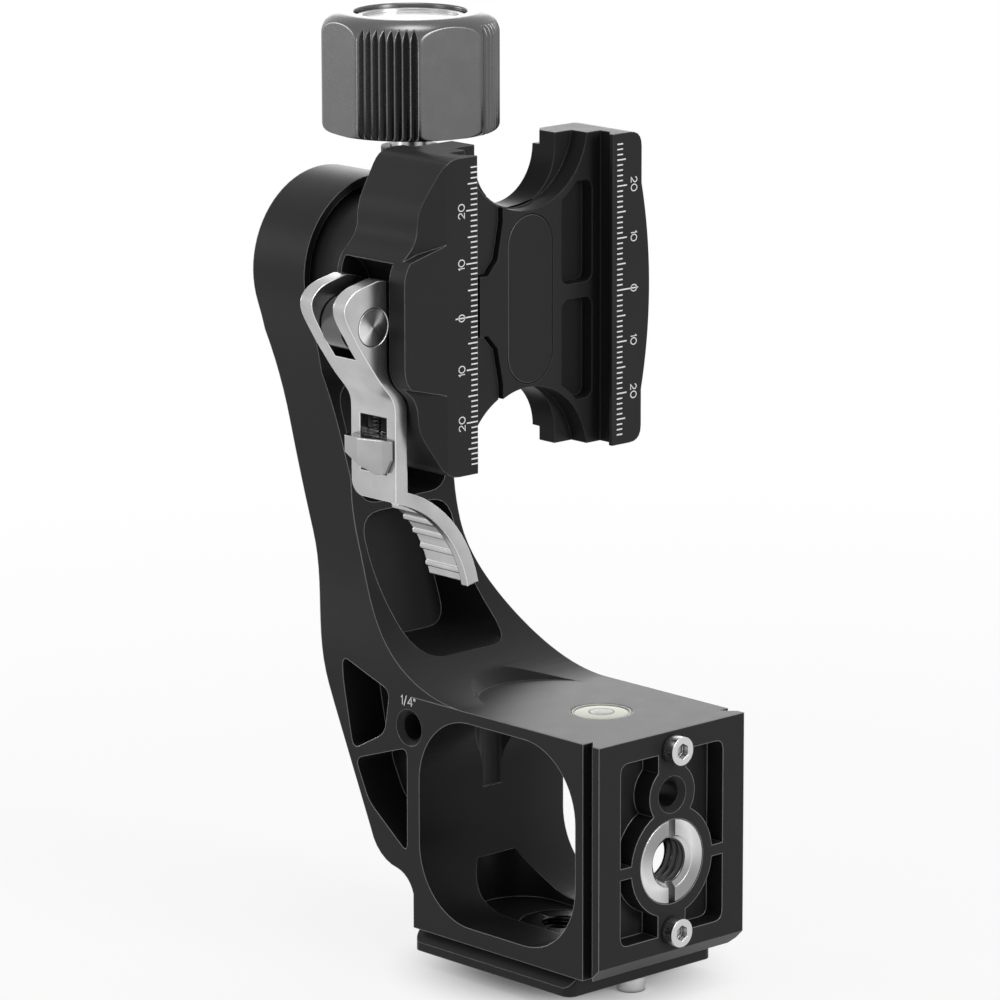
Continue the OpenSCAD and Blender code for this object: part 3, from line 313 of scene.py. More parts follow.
def bright_steel(name, colour, rough, stretch=(1, 1, 1), depth=0.001, recess=0.0, edge=0.0, cloudy=0.04):
    """Satin stainless steel with brushing marks drawn out along one axis."""
    shine, steel_edge_highlight_grey = 0.5, 0.85
    made = Recipe(name, colour, metallic=1.0, roughness=rough[0])
    made.cloud(colour, cloudy, size=8)
    # A painted highlight: a paler line along the rounded edges
    if edge:
        made.round_edges(edge, shine, shine, steel_edge_highlight_grey)
    # Painted shade in recesses, such as the screws' sockets
    if recess:
        made.shade_recesses(recess, floor_share=0.04)
    made.uneven(*rough, size=0.6, stretch=stretch)
    made.bump(made.noise(size=0.12, stretch=stretch), depth)
    return made.material


def turned_steel(name, dark, light, turn, centre, axis, pitch, depth):
    """Steel faced on a lathe, with its rings, and two bright wedges about its own axis painted in as a
    reflection.
    """
    made = Recipe(name, (light, light, light), metallic=1.0, roughness=0.26)
    made.wedges(centre, axis, dark, light, turn)
    made.uneven(low=0.24, high=0.32, size=1.5)
    made.bump(made.rings(centre, axis, pitch), depth)
    made.turning_gloss(centre, axis)
    return made.material


def even_skin(name, colour, roughness, change, patch, grain, depth, sockets=()):
    """Ink, plastic or liquid: a skin without metal, whose colour wanders by the change share over its
    patches, with a fine grain. The sockets are further values of the shader."""
    made = Recipe(name, colour, metallic=0.0, roughness=roughness)
    made.cloud(colour, change, patch)
    for socket, value in sockets:
        made.shader.inputs[socket].default_value = value
    made.bump(made.noise(grain), depth)
    return made.material


ARM_BLACK = anodised("arm_black_anodised", (0.018, 0.018, 0.0184), rough=(0.32, 0.38),
    grain_depth=0.003, shine=0.12, edge=0.3, edge_highlight_grey=0.26)
CLAMP_BLACK = anodised("clamp_black_anodised", (0.017, 0.017, 0.0174), rough=(0.34, 0.42),
    grain_depth=0.004, shine=0.13, edge=0.22, edge_highlight_grey=0.32)
# A paler, glossier black for rounded edge faces: its lighter colour is a painted highlight
EDGE_HIGHLIGHT_BLACK = anodised("edge_black_anodised", (0.05, 0.05, 0.0505), rough=(0.22, 0.28),
    grain_depth=0.001, shine=0.8)
KNOB_GREY = blasted_alloy("knob_grey_alloy", (0.12, 0.12, 0.122), rough=(0.24, 0.3))

LEVER_STEEL = bright_steel("lever_satin_steel", (0.46, 0.46, 0.465), rough=(0.2, 0.28),
    stretch=(1, 1, 6), edge=0.34, cloudy=0.3)
LATCH_STEEL = bright_steel("latch_grey_steel", (0.36, 0.36, 0.365), rough=(0.16, 0.24),
    stretch=(5, 1, 1), edge=0.2, cloudy=0.3)
# Steel painted near black as the shade in the bushings' bores; the latch's spring takes it too
THREAD_STEEL = bright_steel("thread_shaded_steel", (0.05, 0.05, 0.05), rough=(0.2, 0.28), depth=0.0005)
SCREW_STEEL = bright_steel("screw_steel", (0.6, 0.6, 0.6), rough=(0.2, 0.28), depth=0.0005, recess=1.2)
ROD_STEEL = bright_steel("rod_steel", (0.42, 0.42, 0.43), rough=(0.22, 0.3), stretch=(1, 6, 1))
EYE_STEEL = bright_steel("eye_dark_steel", (0.12, 0.12, 0.122), rough=(0.22, 0.3), stretch=(1, 6, 1))
CAP_STEEL = bright_steel("cap_satin_alloy", (0.58, 0.58, 0.585), rough=(0.3, 0.36), depth=0.0004)
BRONZE = bright_steel("bush_bronze", (0.5, 0.3, 0.13), rough=(0.3, 0.42), stretch=(6, 1, 1))

# The turned faces' light and dark wedges are painted reflection
BUSHING_STEEL = turned_steel("bushing_turned_steel", dark=0.3, light=0.62, turn=20,
    centre=(0, 0, END_H), axis=ALONG_X, pitch=0.12, depth=0.0006)
BASE_STEEL = turned_steel("base_turned_steel", dark=0.3, light=0.62, turn=20,
    centre=(0, 0, 0), axis=ALONG_Z, pitch=0.12, depth=0.0006)
PIN_STEEL = turned_steel("pin_turned_steel", dark=0.14, light=0.72, turn=60,
    centre=PIN, axis=ALONG_X, pitch=0.14, depth=0.0008)

# White printing ink, the thrust washer's milky plastic, and the level's liquid, body and dark lines
INK = even_skin("white_ink", (0.78, 0.78, 0.78), roughness=0.6, change=0.06, patch=0.5, grain=0.1,
    depth=0.004)
PLASTIC = even_skin("slide_plastic", (0.75, 0.74, 0.7), roughness=0.5, change=0.05, patch=3, grain=0.2,
    depth=0.006)
LIQUID = even_skin("level_liquid", (0.3, 0.33, 0.2), roughness=0.12, change=0.07, patch=3, grain=0.8,
    depth=0.003, sockets=(("Coat Weight", 0.1), ("Coat Roughness", 0.04), ("Specular IOR Level", 0.12)))
SHELL = even_skin("level_shell", (0.38, 0.39, 0.33), roughness=0.25, change=0.04, patch=2, grain=0.3,
    depth=0.004, sockets=(("Specular IOR Level", 0.12),))
MARK = even_skin("dark_mark", (0.02, 0.022, 0.014), roughness=0.4, change=0.2, patch=0.5, grain=0.2,
    depth=0.002)


# Making pieces

def piece(name, mesh, body, slot, *materials):
    """Puts a finished mesh in the scene, on its body and with its materials."""
    made = bpy.data.objects.new(name, mesh)
    bpy.context.scene.collection.objects.link(made)
    for material in materials:
        mesh.materials.append(material)
    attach(made, body)
    return made


def smooth(mesh, angle):
    """Smooth shading up to that many degrees between two faces."""
    mesh.shade_smooth()
    mesh.set_sharp_from_angle(angle=math.radians(angle))


def grid_mesh(name, points, wrap_u=False, wrap_v=False, flip=False):
    """A mesh from a grid of points in millimetres, joined row to row. Either way of the grid may run
    round to its start."""
    rows, columns = points.shape[:2]
    i = np.arange(rows if wrap_u else rows - 1)[:, None]
    j = np.arange(columns if wrap_v else columns - 1)[None, :]
    a = i * columns + j
    b = i * columns + (j + 1) % columns
    c = (i + 1) % rows * columns + (j + 1) % columns
    d = (i + 1) % rows * columns + j
    order = (d, c, b, a) if flip else (a, b, c, d)
    faces = np.stack([np.broadcast_to(x, a.shape) for x in order], -1).reshape(-1, 4)
    mesh = bpy.data.meshes.new(name)
    mesh.from_pydata((points.reshape(-1, 3) * MM).tolist(), [], faces.tolist())
    return mesh


def merged(node, name, join_flat=False):
    """A copy of a CAD node's mesh with doubled points merged, and its flat faces joined if asked."""
    work = bmesh.new()
    work.from_mesh(nodes[node].data)
    bmesh.ops.remove_doubles(work, verts=work.verts[:], dist=WELD)
    if join_flat:
        bmesh.ops.dissolve_limit(work, angle_limit=FLAT, verts=work.verts[:], edges=work.edges[:])
    mesh = bpy.data.meshes.new(name)
    work.to_mesh(mesh)
    work.free()
    return mesh


def eased(node, width, slot, *materials, tight=False):
    """A copy of a CAD node with its sharp edges rounded over the width. A tight one holds the rounding
    back where two edges are near each other."""
    steps, sharp, shade = 2, 30, 15
    mesh = merged(node, node + "_eased", join_flat=True)
    smooth(mesh, shade)
    made = piece(node + "_eased", mesh, nodes[node]["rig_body"], slot, *materials)
    bevel = made.modifiers.new("edges", "BEVEL")
    bevel.width = width * MM
    bevel.segments = steps
    bevel.limit_method = "ANGLE"
    bevel.angle_limit = math.radians(sharp)
    bevel.use_clamp_overlap = tight
    bevel.harden_normals = True
    # Where a second material is given, the rounded faces take it, painted paler as a highlight
    if len(materials) > 1:
        bevel.material = 1
    level = made.modifiers.new("normals", "WEIGHTED_NORMAL")
    level.keep_sharp = True
    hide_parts(node)


def dress(node, material):
    """Gives a CAD node, whose shape is right, its material."""
    nodes[node].data.materials.clear()
    nodes[node].data.materials.append(material)


# The arm, housing and clamp, the lever's parts and the screws: machined, with each one's edges eased
# over a width in millimetres

eased("arm_frame", 0.35, "black_anodised", ARM_BLACK, tight=True)
eased("pivot_housing", 0.4, "black_anodised", ARM_BLACK, tight=True)
eased("rear_cap", 0.25, "machined_black", CLAMP_BLACK, EDGE_HIGHLIGHT_BLACK)
eased("clamp_base", 0.28, "machined_black", CLAMP_BLACK, tight=True)
eased("moving_jaw", 0.28, "machined_black", CLAMP_BLACK, tight=True)
eased("bed_pad", 0.12, "black_anodised", CLAMP_BLACK, EDGE_HIGHLIGHT_BLACK)
eased("lever", 0.42, "satin_steel", LEVER_STEEL, tight=True)
eased("lever_pin", 0.2, "satin_steel", PIN_STEEL)
eased("latch", 0.2, "satin_steel", LATCH_STEEL)
eased("end_stop_screws", 0.16, "satin_steel", SCREW_STEEL)
eased("base_stop_screws", 0.16, "satin_steel", SCREW_STEEL)
eased("rod_nut", 0.15, "satin_steel", ROD_STEEL)
eased("clamp_screws", 0.2, "satin_steel", SCREW_STEEL)
eased("knob_cap", 0.1, "satin_steel", CAP_STEEL)

for name in ("knob_stud", "tilt_axle", "axle_washer", "axle_nut", "guide_pins", "jaw_springs"):
    dress(name, ROD_STEEL)
dress("draw_rod", EYE_STEEL)
for name in ("front_bush", "rear_bush", "brake_shoe"):
    dress(name, BRONZE)
dress("thrust_washer", PLASTIC)


def latch_spring():
    """The latch's spring, merged from the CAD node, on a mesh of its own."""
    mesh = merged("latch_spring", "latch_spring_coil")
    smooth(mesh, angle=50)
    made = piece("latch_spring_coil", mesh, nodes["latch_spring"]["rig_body"], "satin_steel", THREAD_STEEL)
    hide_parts("latch_spring")
    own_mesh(made)


latch_spring()


# The lock knob: a turned cap with flats and V grooves cut into its side

def arc(start, end, centre, count):
    """Points along the shorter arc about the centre, from start to end."""
    a, b = np.array(start) - centre, np.array(end) - centre
    from_angle, to_angle = math.atan2(a[1], a[0]), math.atan2(b[1], b[0])
    turn = (to_angle - from_angle + math.pi) % FULL_TURN - math.pi
    t = from_angle + turn * np.linspace(0, 1, count)
    radius = np.linspace(np.hypot(*a), np.hypot(*b), count)
    return np.array(centre) + np.stack([np.cos(t), np.sin(t)], 1) * radius[:, None]


def soft_least(a, b, ease):
    """The smaller of two values, with the change from one to the other rounded over the ease."""
    h = np.clip(0.5 + 0.5 * (b - a) / ease, 0, 1)
    return b * (1 - h) + a * h - ease * h * (1 - h)


def knob_profile(radius):
    """Radius and height round the knob's section: up its side, over its crown, and down its bore."""
    top = KNOB_HIGH[2] - KNOB_LOW[2]
    bore, bore_edge, bore_rows = 4.05, 0.6, (8.0, 8.5)
    foot, foot_ring, foot_count = 1.3, 9.0, 9
    side_rows = 12
    crown, crown_run, crown_turn, crown_rows = 4.0, 5.2, 1.25, 26
    recess, recess_depth, recess_ring = 10.8, 1.55, 3
    rim, rim_count = 0.35, 6
    recess_floor = top - recess_depth
    heights = np.linspace(foot, top - crown, side_rows)[1:-1]
    lean = np.linspace(0, crown_turn, crown_rows)
    side = np.concatenate([
        [[bore, bore_rows[0]], [bore, bore_edge], [bore + bore_edge, 0.0], [foot_ring, 0.0]],
        arc((radius - foot, 0.0), (radius, foot), (radius - foot, foot), foot_count),
        np.stack([np.full(len(heights), radius), heights], 1),
        np.stack([
            radius - crown_run + np.cos(lean) * crown_run,
            top - crown + np.sin(lean) / math.sin(crown_turn) * crown,
        ], 1),
    ])
    crown_in = side[-1][0]
    return np.concatenate([
        side,
        [[(crown_in + recess + rim) / 2, top]],
        arc((recess + rim, top), (recess, top - rim), (recess + rim, top - rim), rim_count),
        [[recess, recess_floor], [recess - recess_ring, recess_floor], [bore, recess_floor]],
        [[bore, bore_rows[1]]],
    ])


def lock_knob():
    """The knob's profile turned about its axis. At each angle the radius is the least of the profile's,
    that of the flat there, which is its distance over the cosine of the angle from the flat's middle,
    and that of the groove there, whose floor rises as a V from its middle."""
    centre = (KNOB_LOW + KNOB_HIGH) / 2
    radius, groove_depth, flat_depth = 17.0, 1.15, 1.35
    groups, grooves, step = 4, 8, math.radians(5.2)
    start, flat_turn = math.radians(32.2), math.radians(45)
    groove_count, flat_count = 14, 44
    overrun, valley, out_of_reach = 0.12, 0.04, 3
    flat_ease, crown_ease, inner = 0.12, 0.16, 0.6
    profile = knob_profile(radius)
    floor = radius - groove_depth
    turn = FULL_TURN / groups
    half_group = grooves / 2 * step
    within = np.linspace(-grooves / 2, grooves / 2, grooves * groove_count + 1) * step
    beside = np.linspace(half_group, turn - half_group, flat_count)[1:-1]
    fan = np.concatenate([within, beside]) + start
    theta = (fan[None, :] + turn * np.arange(groups)[:, None]).ravel()
    local = (theta - start + turn / 2) % turn - turn / 2
    off_middle = np.abs((local / step) % 1 - 0.5)
    groove = floor + (radius + overrun - floor) * 2 * np.sqrt(off_middle ** 2 + valley ** 2)
    groove = np.where(np.abs(local) < half_group, groove, radius + out_of_reach)
    from_flat = (theta - start - flat_turn + turn / 2) % turn - turn / 2
    flat = (radius - flat_depth) / np.cos(from_flat)
    limit = soft_least(flat, groove, flat_ease)
    full = np.broadcast_to(profile[:, :1], (len(profile), len(theta)))
    r = np.where(full < floor - inner, full, soft_least(full, limit[None, :], crown_ease))
    points = np.stack([
        centre[0] + r * np.cos(theta),
        centre[1] + r * np.sin(theta),
        np.broadcast_to(KNOB_LOW[2] + profile[:, 1:], r.shape),
    ], -1)
    mesh = grid_mesh("lock_knob_turned", points, wrap_u=True, wrap_v=True, flip=True)
    smooth(mesh, angle=40)
    made = piece("lock_knob_turned", mesh, "knob", "dark_alloy", KNOB_GREY)
    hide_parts("lock_knob")


lock_knob()


# The threaded bushings

def bushing(node, origin, axial, across, depth, sink, material):
    """A ring whose bore's radius rises and falls as a helix: a V thread from the minor radius outwards,
    worked out from the depth below the face over the pitch, plus the share of a turn. The sink is the
    depth of the countersink at its mouth."""
    outer, minor, major, pitch = 8.2, 4.0, 4.76, 1.5875
    edge, soft, crest, run_in = 0.3, 0.3, 0.14, 0.6
    around, thread_rows, sink_rows = 96, 78, 5
    clear, sink_share, sink_end, back = 0.02, 0.9, 0.1, 0.2
    theta = np.linspace(0, FULL_TURN, around, endpoint=False)
    mouth_end = max(sink, edge)
    bore_depths = np.linspace(mouth_end + clear, depth - clear, thread_rows)
    face = np.array([
        [outer, depth], [outer, edge], [outer - edge * soft, edge * soft], [outer - edge, 0.0],
        [(outer + major) / 2, 0.0], [minor + sink + edge, 0.0], [minor + sink, edge * soft],
    ])
    mouth = np.stack([
        np.linspace(minor + sink * sink_share, minor + min(sink, sink_end), sink_rows),
        np.linspace(edge, mouth_end, sink_rows),
    ], 1)[:sink_rows if sink else 1]
    above = np.concatenate([face, mouth])
    wave = np.abs((bore_depths[:, None] / pitch + theta[None, :] / FULL_TURN) % 1 - 0.5) * 2
    ridge = np.clip((wave - crest) / (1 - 2 * crest), 0, 1)
    fade = np.clip((bore_depths - mouth_end) / (pitch * run_in), 0, 1)[:, None]
    bore = minor + (major - minor) * ridge * fade
    r = np.concatenate([above[:, :1] * np.ones(around), bore, np.full((1, around), minor + back)])
    down = np.concatenate([above[:, 1], bore_depths, [depth]])
    points = (
        np.array(origin)
        - down[:, None, None] * np.array(axial)
        + (r * np.cos(theta))[..., None] * np.array(across)
        + (r * np.sin(theta))[..., None] * np.cross(axial, across)
    )
    mesh = grid_mesh(node + "_threaded", points, wrap_u=True, wrap_v=True)
    # The bore's faces take the second material, steel painted near black as shade
    inside = np.arange(len(down))[:, None] * np.ones(around, int) >= len(above) - 2
    mesh.polygons.foreach_set("material_index", inside.astype(np.int32).ravel())
    smooth(mesh, angle=50)
    made = piece(node + "_threaded", mesh, "arm", "satin_steel", material, THREAD_STEEL)
    cut_slot(made, origin, axial, across)
    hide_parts(node)


def cut_slot(made, origin, axial, across):
    """Cuts the driver slot across the bushing's face and leaves the result in its mesh."""
    width, depth, reach, above = 1.7, 1.5, 9.0, 1.0
    low, high = Vector((-depth, -width / 2, -reach)), Vector((above, width / 2, reach))
    turn = Matrix((axial, across, np.cross(axial, across))).transposed().to_4x4()
    turn.translation = Vector(origin)
    work = bmesh.new()
    bmesh.ops.create_cube(work, size=1.0)
    bmesh.ops.scale(work, vec=high - low, verts=work.verts[:])
    bmesh.ops.translate(work, vec=(low + high) / 2, verts=work.verts[:])
    bmesh.ops.transform(work, matrix=turn, verts=work.verts[:])
    bmesh.ops.scale(work, vec=(MM, MM, MM), verts=work.verts[:])
    mesh = bpy.data.meshes.new("slot_cutter")
    work.to_mesh(mesh)
    work.free()
    cutter = bpy.data.objects.new("slot_cutter", mesh)
    bpy.context.scene.collection.objects.link(cutter)
    cut = made.modifiers.new("slot", "BOOLEAN")
    cut.operation = "DIFFERENCE"
    cut.solver = "EXACT"
    cut.object = cutter
    bpy.context.view_layer.update()
    result = bpy.data.meshes.new_from_object(made.evaluated_get(bpy.context.evaluated_depsgraph_get()))
    made.modifiers.clear()
    made.data = result
    bpy.data.objects.remove(cutter)


bushing("end_bushing", origin=(END_X, 0, END_H), axial=ALONG_X, across=ALONG_Y, depth=6.35, sink=1.06,
    material=BUSHING_STEEL)
bushing("base_bushing", origin=(0, 0, 0), axial=(0, 0, -1), across=ALONG_Y, depth=6.2, sink=0.0,
    material=BASE_STEEL)


# The bubble level

def turned(name, profile, centre, count, slot, material):
    """A closed profile of radius and height turned about an upright axis."""
    theta = np.linspace(0, FULL_TURN, count, endpoint=False)
    profile = np.array(profile, float)
    r, z = profile[:, :1], profile[:, 1:]
    points = np.stack([
        centre[0] + r * np.cos(theta),
        centre[1] + r * np.sin(theta),
        np.broadcast_to(centre[2] + z, (len(profile), count)),
    ], -1)
    mesh = grid_mesh(name, points, wrap_u=True, wrap_v=True, flip=True)
    work = bmesh.new()
    work.from_mesh(mesh)
    bmesh.ops.remove_doubles(work, verts=work.verts[:], dist=WELD)
    bmesh.ops.recalc_face_normals(work, faces=work.faces[:])
    work.to_mesh(mesh)
    work.free()
    smooth(mesh, angle=40)
    return piece(name, mesh, "arm", slot, material)


def band(inner, outer, low, high):
    """The section of a flat ring."""
    return [[inner, low], [outer, low], [outer, high], [inner, high]]


def bubble_level():
    """The sleeve's rim, the window with its crown, the ring mark and the bubble below the window.
    Heights are from the top of the vial."""
    centre = np.array((*((LEVEL_LOW + LEVEL_HIGH) / 2)[:2], LEVEL_HIGH[2]))
    sleeve_low, sleeve_high = corners("level_sleeve")
    outer = (sleeve_high[0] - sleeve_low[0]) / 2
    top, bottom = sleeve_high[2] - LEVEL_HIGH[2], sleeve_low[2] - LEVEL_HIGH[2]
    vial_bottom = LEVEL_LOW[2] - LEVEL_HIGH[2]
    around, bubble_around = 96, 64
    rim, seam, edge = 0.8, 0.22, 0.15
    on_axis, gap = 0.02, 0.02
    bow, bow_rows, bow_end = 0.18, 12, 0.004
    film, mark_r, mark_line, mark_depth = 0.012, 2.35, 0.16, 0.03
    seam_share, seam_depth = 0.45, 0.06
    bubble_r, bubble_depth, bubble_rows, bubble_end = 1.75, 0.05, 13, 0.01
    bubble_drift = (0.3, 0.1, 0)

    sleeve = turned("level_sleeve_turned", [
        [outer, bottom], [outer, top - seam * 2], [outer - seam, top - seam],
        [outer - seam, top - edge], [outer - seam - edge, top], [outer - rim + edge, top],
        [outer - rim, top - edge], [outer - rim, bottom + rim], [on_axis, bottom + rim],
        [on_axis, bottom],
    ], centre, around, "white_plastic", SHELL)
    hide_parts("level_sleeve")

    glass = outer - rim - gap
    angles = np.linspace(0, math.pi / 2 - bow_end, bow_rows)
    crown = [[glass * math.cos(t), bow * math.sin(t)] for t in angles]
    flat_end = [[on_axis, vial_bottom + gap], [glass, vial_bottom + gap]]
    vial = turned("level_vial_domed", flat_end + crown, centre, around, "level_fluid", LIQUID)
    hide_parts("level_vial")

    def lift(r):
        """Height just over the window's bow at a radius."""
        return bow * math.sqrt(max(0.0, 1 - (r / glass) ** 2)) + film

    ring = band(mark_r - mark_line, mark_r + mark_line, lift(mark_r) - mark_depth, lift(mark_r))
    turned("level_ring_mark", ring, centre, around, "level_fluid", MARK)
    seam_r, seam_half = outer - seam * seam_share, seam * seam_share
    groove = band(seam_r - seam_half, seam_r + seam_half, top - seam, top - seam_depth)
    turned("level_seam", groove, centre, around, "level_fluid", MARK)
    angles = np.linspace(-math.pi / 2 + bubble_end, math.pi / 2 - bubble_end, bubble_rows)
    bubble = [[bubble_r * math.cos(t), lift(bubble_r) + bubble_depth * math.sin(t)] for t in angles]
    turned("level_bubble", bubble, centre + bubble_drift, bubble_around, "level_fluid", SHELL)


bubble_level()


# Printed scales and numbers

INK_DEPTH = 0.03


def strip_mesh(path, width, place, closed=False):
    """A flat stroke of ink along a path: the path is set off by half the width to both sides, and raised
    from the surface by the ink's depth. The path's two parameters are carried over by the place matrix."""
    sharpest = 0.5
    path = np.array(path, float)
    ahead = np.roll(path, -1, 0) - path
    back = path - np.roll(path, 1, 0)
    if not closed:
        ahead[-1] = back[-1]
        back[0] = ahead[0]
    ahead /= np.linalg.norm(ahead, axis=1)[:, None]
    back /= np.linalg.norm(back, axis=1)[:, None]
    way = ahead + back
    way /= np.linalg.norm(way, axis=1)[:, None]
    bend = np.clip((way * ahead).sum(1), sharpest, 1)[:, None]
    off = np.stack([-way[:, 1], way[:, 0]], 1) * width / 2 / bend
    left, right = path + off, path - off
    low, high = (np.full((len(path), 1), level) for level in (-INK_DEPTH, INK_DEPTH))
    section = ((left, low), (right, low), (right, high), (left, high))
    loop = np.stack([np.hstack(corner) for corner in section], 1)
    mesh = grid_mesh("stroke", loop, wrap_u=closed, wrap_v=True)
    if not closed:
        work = bmesh.new()
        work.from_mesh(mesh)
        bmesh.ops.holes_fill(work, edges=work.edges[:], sides=4)
        work.to_mesh(mesh)
        work.free()
    shift = place.copy()
    shift.translation = place.translation * MM
    mesh.transform(shift)
    return mesh


def curve_points(centre, radii, start, end, count):
    """Points on an oval from one angle to another, in degrees."""
    t = np.radians(np.linspace(start, end, count))
    return np.stack([centre[0] + radii[0] * np.cos(t), centre[1] + radii[1] * np.sin(t)], 1)


def figure(character, height):
    """The strokes of a plain figure as (path, closed), and its width. It stands on the base line, and
    its points are shares of its height."""
    h = height
    if character == "0":
        ring = curve_points((h * 0.42, h / 2), (h * 0.42, h / 2), start=0, end=348, count=30)
        return [(ring, True)], h * 0.84
    if character == "1":
        return [([(0, h * 0.78), (h * 0.2, h), (h * 0.2, 0)], False)], h * 0.2
    if character == "2":
        bowl = curve_points((h * 0.33, h * 0.68), (h * 0.32, h * 0.32), start=172, end=-38, count=14)
        return [(np.concatenate([bowl, [(0.02 * h, 0), (h * 0.7, 0)]]), False)], h * 0.7
    if character == "4":
        return [([(h * 0.52, 0), (h * 0.52, h), (0, h * 0.3), (h * 0.72, h * 0.3)], False)], h * 0.72
    if character == "/":
        return [([(0, -h * 0.1), (h * 0.42, h * 1.1)], False)], h * 0.42
    return [([(0, h * 0.68), (0, h)], False), ([(h * 0.18, h * 0.68), (h * 0.18, h)], False)], h * 0.18


def lettering(text, height, weight, place):
    """The figures of a text side by side, centred on the place matrix."""
    gap = height * 0.24
    strokes, advance = [], 0.0
    for character in text:
        paths, width = figure(character, height)
        strokes += [(np.array(path) + (advance, 0), closed) for path, closed in paths]
        advance += width + gap
    centre = np.array([(advance - gap) / 2, height / 2])
    return [strip_mesh(path - centre, weight, place, closed) for path, closed in strokes]


def on_face(reading, upward, outward, origin):
    """The matrix that lays a text's reading, upward and outward directions on a surface at the origin."""
    made = Matrix([[*row] for row in np.stack([reading, upward, outward], 1)]).to_4x4()
    made.translation = Vector(origin)
    return made


def printed(name, body, strokes):
    """All the strokes of a print as one piece of white ink."""
    mesh = bpy.data.meshes.new(name)
    work = bmesh.new()
    for stroke in strokes:
        work.from_mesh(stroke)
    bmesh.ops.recalc_face_normals(work, faces=work.faces[:])
    work.to_mesh(mesh)
    work.free()
    piece(name, mesh, body, "white_plastic", INK)


def scale(name, body, base_y, side, one, five, ten, zero, numbers_y):
    """The millimetre scale of a jaw, read away from the middle both ways. Its lines start at the base
    and are as long as their step asks."""
    reach, line, weight, height = 28, 0.27, 0.2, 1.5
    steps = np.arange(-reach, reach + 1)
    lengths = np.where(steps % 5, one, np.where(steps % 10, five, ten))
    lengths = np.where(steps == 0, zero, lengths)
    tick = on_face(ALONG_Z, ALONG_Y, (-1, 0, 0), (FACE_X, 0, AXIS_Z))
    strokes = [
        strip_mesh([(z, base_y), (z, base_y + side * length)], line, tick)
        for z, length in zip(steps.tolist(), lengths.tolist())
    ]
    for value in (-20, -10, 0, 10, 20):
        place = on_face((0, 0, -side), (0, side, 0), ALONG_X, (FACE_X, numbers_y, AXIS_Z + value))
        strokes += lettering(str(abs(value)), height, weight, place)
    printed(name, body, strokes)


scale("moving_jaw_scale", "jaw", base_y=-18.45, side=-1, one=1.6, five=2.35, ten=2.75, zero=5.5,
    numbers_y=-22.4)
scale("fixed_jaw_scale", "clamp", base_y=17.6, side=1, one=1.45, five=2.2, ten=2.55, zero=5.55,
    numbers_y=22.0)

# The plain size beside the side thread
LABEL_X, LABEL_Z = -22.7, 49.0
label_place = on_face(ALONG_X, ALONG_Z, (0, -1, 0), (LABEL_X, SIDE_Y, LABEL_Z))
printed("thread_label", "arm", lettering('1/4"', height=1.75, weight=0.22, place=label_place))


# Studio: a pale floor, soft lamps and a pale world

def seen_light(nodes_of, links_of):
    """One for camera, glossy and transmission rays, so that metal and glass see the same pale ground."""
    path = nodes_of.new("ShaderNodeLightPath")
    value = path.outputs["Is Camera Ray"]
    for ray in ("Is Glossy Ray", "Is Transmission Ray"):
        either = nodes_of.new("ShaderNodeMath")
        either.operation = "MAXIMUM"
        links_of.new(value, either.inputs[0])
        links_of.new(path.outputs[ray], either.inputs[1])
        value = either.outputs[0]
    return value


def pale_floor():
    """A wide pale floor that keeps the shadow round the foot and glows white further away. The share of
    the glow grows with the distance from the head, in metres."""
    reach, floor_z = 8.0, cad_low.z
    glow_start, glow_end, near_share, far_share = 0.04, 0.5, 0.84, 1.0
    foot_start, foot_end, foot_share = 0.012, 0.036, 0.1
    mesh = bpy.data.meshes.new("floor")
    square = ((-reach, -reach), (reach, -reach), (reach, reach), (-reach, reach))
    mesh.from_pydata([(x, y, floor_z) for x, y in square], [], [(0, 1, 2, 3)])
    made = bpy.data.objects.new("floor", mesh)
    bpy.context.scene.collection.objects.link(made)
    paint = Recipe("floor_paint", (0.86, 0.86, 0.86), metallic=0.0, roughness=0.9)
    paint.uneven(0.85, 0.95, size=200)
    glow = paint.node("ShaderNodeEmission")
    away = paint.node("ShaderNodeVectorMath", operation="LENGTH")
    paint.links.new(paint.place, away.inputs[0])
    distance = away.outputs["Value"]
    soft = {"interpolation_type": "SMOOTHSTEP"}
    wide = paint.ranged(distance, glow_start, glow_end, near_share, far_share, **soft)
    under = paint.ranged(distance, foot_start, foot_end, foot_share, 1, **soft)
    share = paint.times(seen_light(paint.nodes, paint.links), paint.times(wide, under))
    mix = paint.node("ShaderNodeMixShader")
    paint.links.new(share, mix.inputs["Fac"])
    paint.links.new(paint.shader.outputs[0], mix.inputs[1])
    paint.links.new(glow.outputs[0], mix.inputs[2])
    paint.links.new(mix.outputs[0], paint.nodes["Material Output"].inputs["Surface"])
    mesh.materials.append(paint.material)


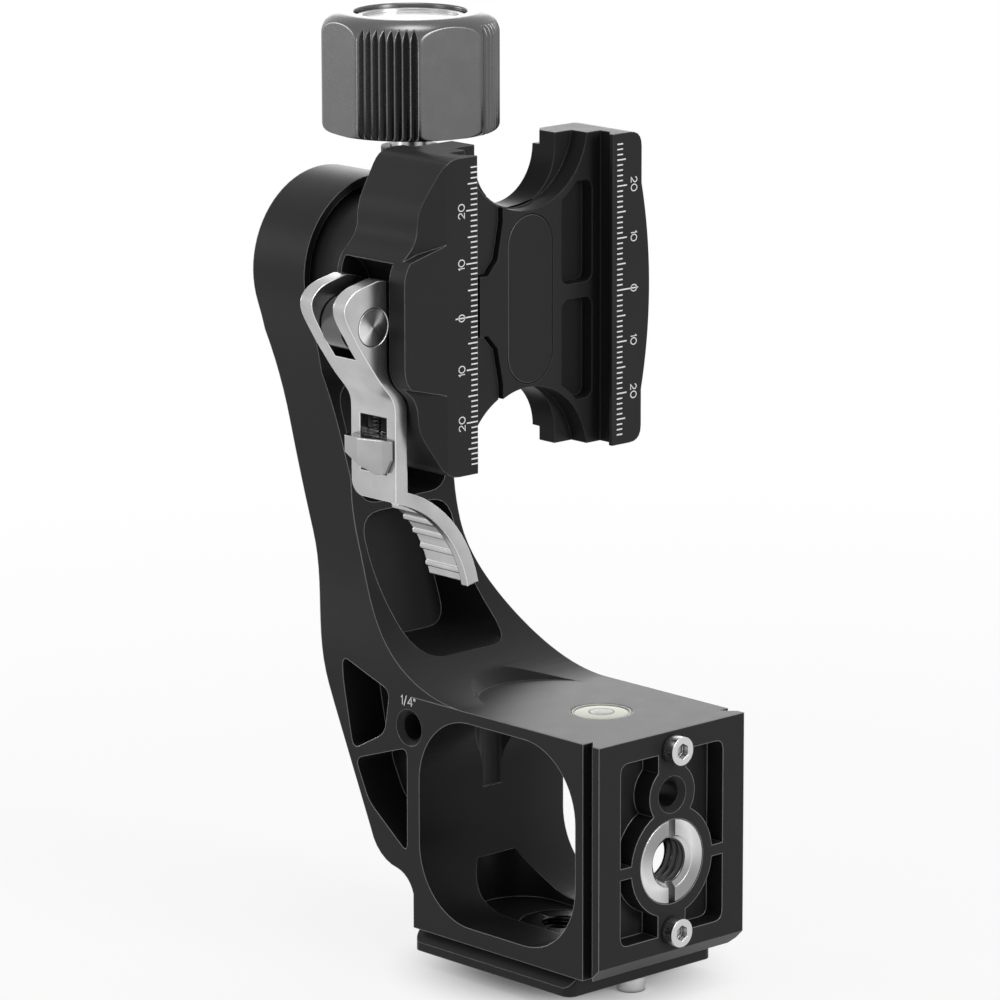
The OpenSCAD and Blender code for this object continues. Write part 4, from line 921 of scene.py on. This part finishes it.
def white_room():
    """A white world, seen at full strength but lighting the head with less."""
    lit, seen = 0.3, 1.0
    world = bpy.data.worlds.new("studio")
    bpy.context.scene.world = world
    world.use_nodes = True
    tree = world.node_tree
    ground = tree.nodes["Background"]
    ground.inputs["Color"].default_value = (1, 1, 1, 1)
    strength = tree.nodes.new("ShaderNodeMapRange")
    strength.inputs["To Min"].default_value = lit
    strength.inputs["To Max"].default_value = seen
    tree.links.new(seen_light(tree.nodes, tree.links), strength.inputs["Value"])
    tree.links.new(strength.outputs[0], ground.inputs["Strength"])


def lamp(name, place, size, power):
    """A square soft lamp that looks at the middle of the head. Its place is measured from there."""
    light = bpy.data.lights.new(name, "AREA")
    light.shape = "SQUARE"
    light.size = size
    light.energy = power
    made = bpy.data.objects.new(name, light)
    bpy.context.scene.collection.objects.link(made)
    middle_point = (cad_low + cad_high) / 2
    made.location = Vector(place) + middle_point
    made.rotation_euler = (middle_point - made.location).to_track_quat("-Z", "Y").to_euler()
    made.visible_camera = False


pale_floor()
white_room()
lamp("key", place=(-0.2, -1.0, 0.6), size=0.3, power=0.5)
lamp("front", place=(-0.3, -1.0, 0.05), size=0.3, power=1.8)
lamp("side", place=(1.0, 0.15, 0.3), size=0.3, power=4.5)
lamp("rim", place=(-1.0, -0.35, 0.2), size=0.3, power=2.2)
lamp("rear", place=(-0.88, 0.8, 0.28), size=0.5, power=1.5)
lamp("top", place=(0.0, 0.0, 1.1), size=0.4, power=3.3)


# The camera, at the photograph's viewing angle

def camera():
    """A long lens that looks down on the head from its front right corner."""
    place = Vector((767.86, -731.25, 330.3)) * MM
    lens, sensor, nearest, farthest = 207.67, 36.0, 0.05, 50
    azimuth, pitch, roll = (math.radians(a) for a in (42.965, 12.813, -0.122))
    level = math.cos(pitch)
    back = Vector((math.cos(azimuth) * level, -math.sin(azimuth) * level, math.sin(pitch)))
    right = Vector((math.sin(azimuth), math.cos(azimuth), 0))
    up = back.cross(right)
    turned_right = right * math.cos(roll) + up * math.sin(roll)
    turned_up = up * math.cos(roll) - right * math.sin(roll)
    turn = Matrix((turned_right, turned_up, back)).transposed().to_4x4()
    data = bpy.data.cameras.new("camera")
    data.lens = lens
    data.sensor_width = sensor
    data.clip_start, data.clip_end = nearest, farthest
    made = bpy.data.objects.new("camera", data)
    bpy.context.scene.collection.objects.link(made)
    made.matrix_world = Matrix.Translation(place) @ turn
    bpy.context.scene.camera = made


camera()
bpy.context.scene.view_settings.view_transform = "Standard"
